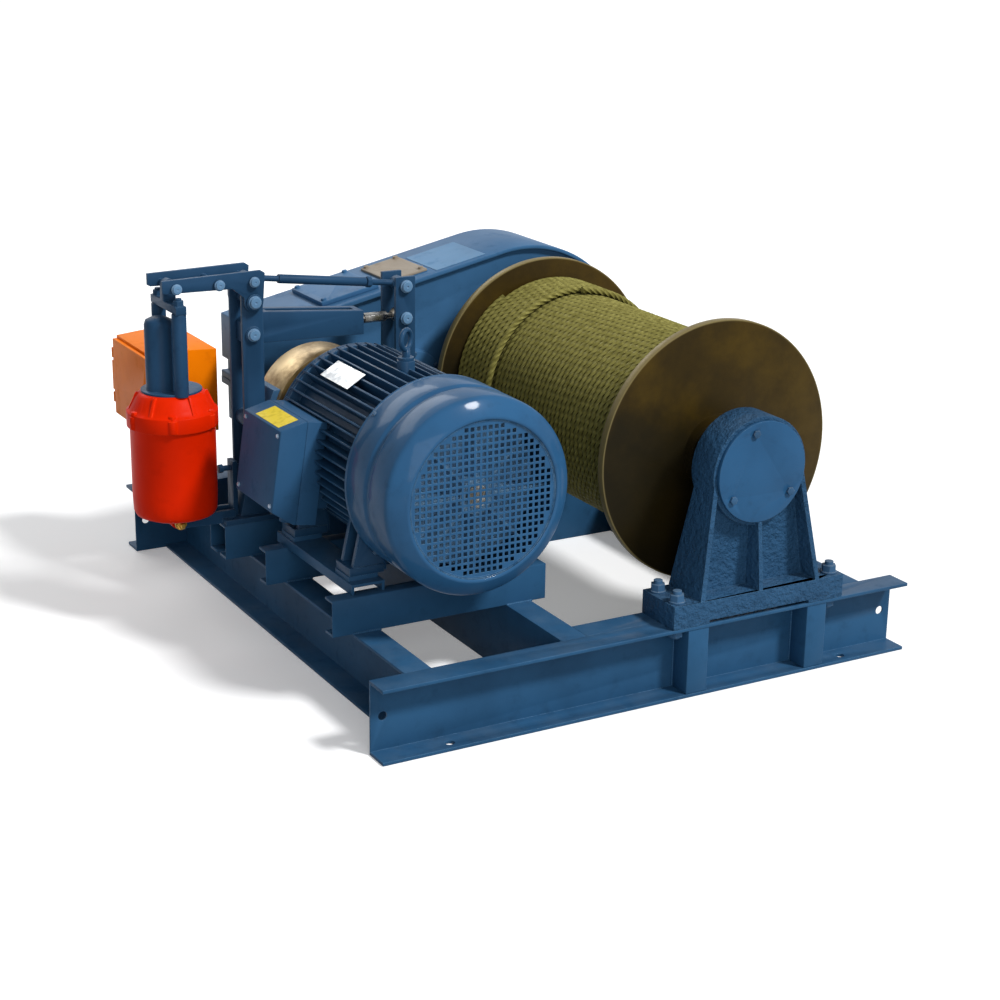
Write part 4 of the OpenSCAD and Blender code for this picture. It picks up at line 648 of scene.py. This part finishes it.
motor_x = at(355, 0, 0).x
cowl_front = at(0, 66, 0).y
cowl_shape = bmesh.new()
grille_r, cowl_r, cowl_len = 0.206, 0.262, 0.264
groove, sheet, grille_depth = cowl_len * 0.5, 0.0025, 0.006
outer = [(grille_r - 0.004, grille_depth), (grille_r, grille_depth - 0.0004),
         (grille_r + 0.0015, 0.003), (grille_r + 0.004, 0.0006), (grille_r + 0.008, 0),
         (grille_r + 0.012, 0.0012), (cowl_r - 0.010, 0.0255), (cowl_r - 0.005, 0.0295),
         (cowl_r - 0.0015, 0.0345), (cowl_r, 0.041), (cowl_r, groove - 0.010),
         (cowl_r - 0.001, groove - 0.005), (cowl_r - 0.0055, groove - 0.001),
         (cowl_r - 0.0065, groove + 0.003), (cowl_r - 0.0065, groove + 0.013),
         (cowl_r - 0.0055, groove + 0.016), (cowl_r - 0.001, groove + 0.020),
         (cowl_r, groove + 0.025), (cowl_r, cowl_len - 0.012), (cowl_r - 0.002, cowl_len - 0.006),
         (cowl_r, cowl_len)]
inner = [(max(r - sheet, grille_r - 0.0045), h + (sheet if h < 0.03 else 0)) for r, h in outer]
lathe(cowl_shape, outer + inner[::-1] + outer[:1], 128)
bmesh.ops.remove_doubles(cowl_shape, verts=cowl_shape.verts, dist=1e-6)
cowl_shape.transform(Matrix.Translation((motor_x, cowl_front, shaft_z))
                     @ Matrix.Rotation(math.radians(-90), 4, "X"))
bmesh.ops.recalc_face_normals(cowl_shape, faces=cowl_shape.faces)
cowl_mesh = bpy.data.meshes.new("fan_cowl_shell")
cowl_shape.to_mesh(cowl_mesh)
cowl_shape.free()
cowl = settle(link("fan_cowl_shell", cowl_mesh), smooth_blue, "base", 40)
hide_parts("fan_cowl")

pitch, hole, half_sheet = 0.017, 0.0108, 0.001


def cell(shape, opening):
    """One square of the grille, with or without its hole."""
    half = pitch / 2
    corners = [(-1, -1), (1, -1), (1, 1), (-1, 1)]
    sheets = []
    for z in (-half_sheet, half_sheet):
        rim_loop = [shape.verts.new((a * half, b * half, z)) for a, b in corners]
        if opening:
            hole_loop = [shape.verts.new((a * hole / 2, b * hole / 2, z)) for a, b in corners]
            for k in range(4):
                shape.faces.new((rim_loop[k], rim_loop[(k + 1) % 4], hole_loop[(k + 1) % 4],
                                 hole_loop[k]))
            sheets.append(hole_loop)
        else:
            shape.faces.new(rim_loop)
    if opening:
        for k in range(4):
            shape.faces.new((sheets[0][k], sheets[0][(k + 1) % 4], sheets[1][(k + 1) % 4],
                             sheets[1][k]))


holed = sample_of("holed", lambda shape: cell(shape, True))
blank = sample_of("blank", lambda shape: cell(shape, False))
open_cells, closed_cells = [], []
grille_y = cowl_front + grille_depth + 0.0017
blank_from, blank_to = grille_r - 0.011, grille_r + 0.007
rows = range(-12, 13)
for i in rows:
    for j in rows:
        reach = math.hypot(i, j) * pitch
        if reach > blank_to:
            continue
        spot = Vector((motor_x + i * pitch, grille_y, shaft_z + j * pitch))
        (open_cells if reach < blank_from else closed_cells).append((spot, (0, -1, 0)))
repeated("cowl_grille", open_cells, holed, smooth_blue, "base")
repeated("cowl_grille_edge", closed_cells, blank, smooth_blue, "base")

cowl_screws = []
for k in range(4):
    angle = math.radians(45 + 90 * k)
    out = (math.cos(angle), 0, math.sin(angle))
    cowl_screws.append((Vector((motor_x, cowl_front + 0.246, shaft_z))
                        + 0.2622 * Vector(out), out))
repeated("cowl_screws", cowl_screws, head, painted_steel, "base", 0.6)

shield_bolts = []
for k in range(8):
    angle = math.radians(22.5 + 45 * k)
    shield_bolts.append((Vector((motor_x + 0.222 * math.cos(angle), at(0, 820, 0).y,
                                 shaft_z + 0.222 * math.sin(angle))), (0, 1, 0)))
repeated("shield_bolts", shield_bolts, head, painted_steel, "base", 0.8)

box_turn = Matrix.Translation((motor_x, 0, shaft_z)) @ Matrix.Rotation(math.radians(8), 4, "Y")
box_blue = enamel("box_blue", srgb(44, 84, 120), srgb(120, 156, 186), srgb(26, 52, 78),
                  gloss=0.5, dust=0.04)
dress("terminal_box", box_blue, 0.006)
dress("terminal_lid", box_blue, 0.012)


def on_box(x, y, z):
    """A point in the tilted frame of the terminal box, in layout millimetres."""
    return box_turn @ Vector((x / 1000, (y - 841) / 1000, z / 1000))


box_way = tuple(box_turn.to_3x3() @ Vector((-1, 0, 0)))
lid_screws = [(on_box(-345, y, z), box_way) for y in (575, 789) for z in (30, -160)]
repeated("lid_screws", lid_screws, head, worn_zinc.material, "base", 0.55)


def plate(name, corners, thickness, finish, body):
    """A thin plate on four corners, with its edges rounded a little."""
    shape = bmesh.new()
    low = [shape.verts.new(c) for c in corners]
    normal = (corners[1] - corners[0]).cross(corners[3] - corners[0]).normalized()
    high = [shape.verts.new(c + normal * thickness) for c in corners]
    shape.faces.new(low[::-1])
    shape.faces.new(high)
    for k in range(4):
        shape.faces.new((low[k], low[(k + 1) % 4], high[(k + 1) % 4], high[k]))
    bmesh.ops.recalc_face_normals(shape, faces=shape.faces)
    bmesh.ops.bevel(shape, geom=shape.edges[:], offset=thickness * 0.3, segments=2,
                    affect="EDGES")
    mesh = bpy.data.meshes.new(name)
    shape.to_mesh(mesh)
    shape.free()
    return settle(link(name, mesh), finish, body)


yellow = Finish("yellow_foil")
scuff = yellow.noise(60.0, 4.0).between(0.45, 0.7)
yellow.put(Base_Color=yellow.mix(scuff * 0.4, srgb(236, 208, 16), srgb(176, 150, 40)),
           Roughness=0.38 + 0.2 * scuff)
yellow.bump(yellow.noise(90.0, 3.0), 0.1, 0.0005)
plate("yellow_sticker", [on_box(-284, 592, 70.6), on_box(-284, 744, 70.6),
                         on_box(-338, 744, 48), on_box(-338, 592, 48)],
      0.0009, yellow.material, "base")
tin = Finish("nameplate_tin", Metallic=0.6)
dull = tin.noise(50.0, 4.0).between(0.4, 0.7)
tin.put(Base_Color=tin.mix(dull * 0.35, srgb(222, 224, 224), srgb(150, 160, 170)),
        Roughness=0.35 + 0.2 * dull)
tin.bump(tin.noise(200.0, 2.0), 0.1, 0.0004)
panel_blue = enamel("pale_panel", srgb(84, 132, 172), PALE_BLUE, srgb(52, 92, 130), gloss=0.4,
                    dust=0.1)
plate("gearbox_panel", [at(822, 1220, 914.1), at(990, 1220, 950.6), at(990, 1430, 950.6),
                        at(822, 1430, 914.1)], 0.0008, panel_blue, "base")
plate("motor_nameplate", [at(200, 536, 781.5), at(254, 536, 814.5), at(254, 705, 814.5),
                          at(200, 705, 781.5)], 0.0012, tin.material, "base")


# Coupling and brake wheel: a pin coupling whose driven half is the brake wheel. The wheel's
# rim is bare cast iron with a bronze-coloured rust bloom and a dark face.
rim_iron = Finish("brake_rim_iron", Metallic=0.7)
bloom = rim_iron.noise(12.0, 5.0, 0.65).between(0.35, 0.7)
rim_iron.put(Base_Color=rim_iron.mix(bloom, srgb(196, 172, 128), srgb(128, 104, 66)),
             Roughness=0.38 + 0.15 * bloom)
rim_iron.bump(rim_iron.noise(120.0, 3.0), 0.2, 0.0006)
dark_olive = Finish("wheel_face", Metallic=0.4)
face_soil = dark_olive.noise(16.0, 4.0).between(0.35, 0.7)
dark_olive.put(Base_Color=dark_olive.mix(face_soil, srgb(112, 92, 52), srgb(62, 48, 24)),
               Roughness=0.5)
wheel = dress("brake_wheel", rim_iron.material, 0.0015)
wheel.data.materials.append(dark_olive.material)
for polygon in wheel.data.polygons:
    if abs(polygon.normal.y) > 0.7:
        polygon.material_index = 1
dress("motor_coupling", rim_iron.material, 0.0015)
for shoe in ("left_brake_shoe", "right_brake_shoe"):
    dress(shoe, painted_steel, 0.0015)
linkage_blue = enamel("linkage_blue", srgb(38, 72, 104), srgb(110, 146, 178), srgb(20, 40, 60),
                      gloss=0.42, dust=0.05)
for arm in ("brake_base", "left_brake_arm", "right_brake_arm", "brake_lever", "tie_rod",
            "spring_box"):
    dress(arm, linkage_blue, 0.0016)
dress("spring_rod", turned_steel.material, 0.0008)

pin_blue = enamel("pin_blue", srgb(104, 144, 180), srgb(188, 206, 220), srgb(58, 88, 118),
                  gloss=0.4, dust=0.0)
pin_ends = []
for x, z in ((119, 410), (119, 590), (119, 843), (591, 410), (591, 590)):
    body = "left_arm" if x < 300 else "right_arm"
    pin_ends.append((body, at(x, 965, z), (0, -1, 0)))
    pin_ends.append((body, at(x, 1077, z), (0, 1, 0)))
for x, z in ((591, 843), (591, 936)):
    pin_ends.append(("right_arm", at(x, 965, z), (0, -1, 0)))
pin_ends.append(("left_arm", at(119, 952, 937), (0, -1, 0)))
for body in ("left_arm", "right_arm"):
    repeated(body + "_pin_ends", [(p, d) for b, p, d in pin_ends if b == body], pin_end,
             pin_blue, body, 1.5)
repeated("lever_pin_ends", [(at(x, 951, 994), (0, -1, 0)) for x in (-106, 17, 119)], pin_end,
         pin_blue, "lever", 1.2)


# Brake spring: a wound wire spring in its box, with ground ends. Its seat on the rod comes
# 10.2 mm closer when the thruster opens the brake, but this spring is one rigid shape carried by
# the spring housing and does not shorten.
curls, wire_r, spring_r = 14, 0.0036, 0.021
spring_start, spring_end = at(185, 1021, 843), at(459, 1021, 843)
rings, faces = [], []
steps, sides = curls * 28, 10
for i in range(steps + 1):
    share = i / steps
    squeezed = share if 0.04 < share < 0.96 else (0.25 * share if share <= 0.04 else
                                                  1 - 0.25 * (1 - share))
    angle = 2 * math.pi * curls * share
    out = Vector((0, math.cos(angle), math.sin(angle)))
    centre = spring_start.lerp(spring_end, 0.014 + 0.972 * squeezed) + spring_r * out
    for k in range(sides):
        turn = 2 * math.pi * k / sides
        along = Vector((math.sin(turn), 0, 0))
        rings.append(centre + wire_r * (math.cos(turn) * out + along))
    if i:
        low = (i - 1) * sides
        faces += [(low + k, low + (k + 1) % sides, low + sides + (k + 1) % sides, low + sides + k)
                  for k in range(sides)]
faces += [tuple(range(sides))[::-1], tuple(steps * sides + k for k in range(sides))]
spring_mesh = bpy.data.meshes.new("wound_spring")
spring_mesh.from_pydata([tuple(r) for r in rings], [], faces)
spring = settle(link("wound_spring", spring_mesh), turned_steel.material, "spring_housing",
                60)
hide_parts("brake_spring")
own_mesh(spring)


# Thruster: the red oil-filled lifter that opens the brake. Its rim is bolted, its dome
# ribbed, and blue tubes on top guard the two lifting rods and the motor.
red = enamel("thruster_red", srgb(226, 38, 0), srgb(255, 96, 40), srgb(180, 24, 0), gloss=0.42,
             dust=0.0, shine=0.05)
dress("thruster_body", red, 0.003)
dress("thruster_head", linkage_blue, 0.002)
dress("thruster_rods", linkage_blue, 0.0012)
brass = Finish("foot_pin_brass", Metallic=0.9)
verdigris = brass.noise(60.0, 4.0).between(0.4, 0.7)
brass.put(Base_Color=brass.mix(verdigris, srgb(196, 152, 70), srgb(104, 84, 34)), Roughness=0.35)
repeated("foot_pin_ends", [(at(-106, 985, 320), (0, -1, 0)), (at(-106, 1057, 320), (0, 1, 0))],
         stud, brass.material, "base", 1.5)


# Control box: an orange sheet housing on a post, with a hinged door on its left side. Its
# enamel is even, without dust, and its corners are well rounded.
orange = enamel("control_orange", srgb(246, 128, 4), srgb(255, 178, 90), srgb(198, 86, 0),
                gloss=0.4, dust=0.0, shine=0.03)
dress("control_box", orange, 0.014)
dress("control_door", orange, 0.012)


# Studio: a plain pale floor, a soft sun from the front right, soft panels behind the winch
# and before it, and an even sky.
for left_over in samples:
    bpy.data.objects.remove(left_over)
floor_mesh = bpy.data.meshes.new("floor")
wide = 60
floor_mesh.from_pydata([(-wide, -wide, 0), (wide, -wide, 0), (wide, wide, 0), (-wide, wide, 0)],
                       [], [(0, 1, 2, 3)])
floor = link("floor", floor_mesh)
floor.location.z = -0.0005
pale = Finish("pale_floor", Roughness=0.9)
seen = sum((pale.add("ShaderNodeLightPath", output=ray) for ray in
            ("Is Camera Ray", "Is Glossy Ray", "Is Transmission Ray")), 0).between(0, 1)
plain = pale.mix(pale.noise(1.5), (0.93, 0.93, 0.93, 1), (0.96, 0.96, 0.96, 1))
bounce = (0.3, 0.3, 0.3, 1)
pale.put(Base_Color=pale.mix(seen, bounce, plain), Emission_Strength=0.22,
         Emission_Color=pale.mix(seen, (0, 0, 0, 1), (1, 1, 1, 1)))
floor.data.materials.append(pale.material)

sun = bpy.data.lights.new("sun", "SUN")
sun.energy = 2.8
sun.angle = math.radians(10)
sun_place = bpy.data.objects.new("sun", sun)
sun_place.rotation_euler = Vector((0.4, -0.66, 0.84)).to_track_quat("Z", "Y").to_euler()
bpy.context.scene.collection.objects.link(sun_place)

for name, size, energy, spot in (("back_panel", (5.0, 1.6), 110, Vector((-0.6, 5.2, 4.0))),
                                 ("front_panel", (2.5, 2.5), 70, Vector((-1.6, -5.2, 2.0)))):
    panel = bpy.data.lights.new(name, "AREA")
    panel.shape = "RECTANGLE"
    panel.size, panel.size_y = size
    panel.energy = energy
    panel_place = bpy.data.objects.new(name, panel)
    panel_place.location = spot
    aim_at = Vector((0, 0, 0.5))
    panel_place.rotation_euler = (spot - aim_at).to_track_quat("Z", "Y").to_euler()
    bpy.context.scene.collection.objects.link(panel_place)

world = bpy.data.worlds.new("sky")
bpy.context.scene.world = world
world.use_nodes = True
sky = world.node_tree
sky_nodes = sky.nodes
background = sky_nodes["Background"]
background.inputs["Color"].default_value = (0.92, 0.96, 1.0, 1)
background.inputs["Strength"].default_value = 0.26
white = sky_nodes.new("ShaderNodeBackground")
white.inputs["Color"].default_value = (1, 1, 1, 1)
chosen = sky_nodes.new("ShaderNodeMixShader")
rays = sky_nodes.new("ShaderNodeLightPath")
reach = rays.outputs["Is Camera Ray"]
for ray in ("Is Glossy Ray", "Is Transmission Ray"):
    either = sky_nodes.new("ShaderNodeMath")
    either.operation = "MAXIMUM"
    sky.links.new(reach, either.inputs[0])
    sky.links.new(rays.outputs[ray], either.inputs[1])
    reach = either.outputs[0]
sky.links.new(reach, chosen.inputs[0])
sky.links.new(background.outputs[0], chosen.inputs[1])
sky.links.new(white.outputs[0], chosen.inputs[2])
sky.links.new(chosen.outputs[0], sky_nodes["World Output"].inputs[0])
bpy.context.scene.view_settings.view_transform = "Standard"
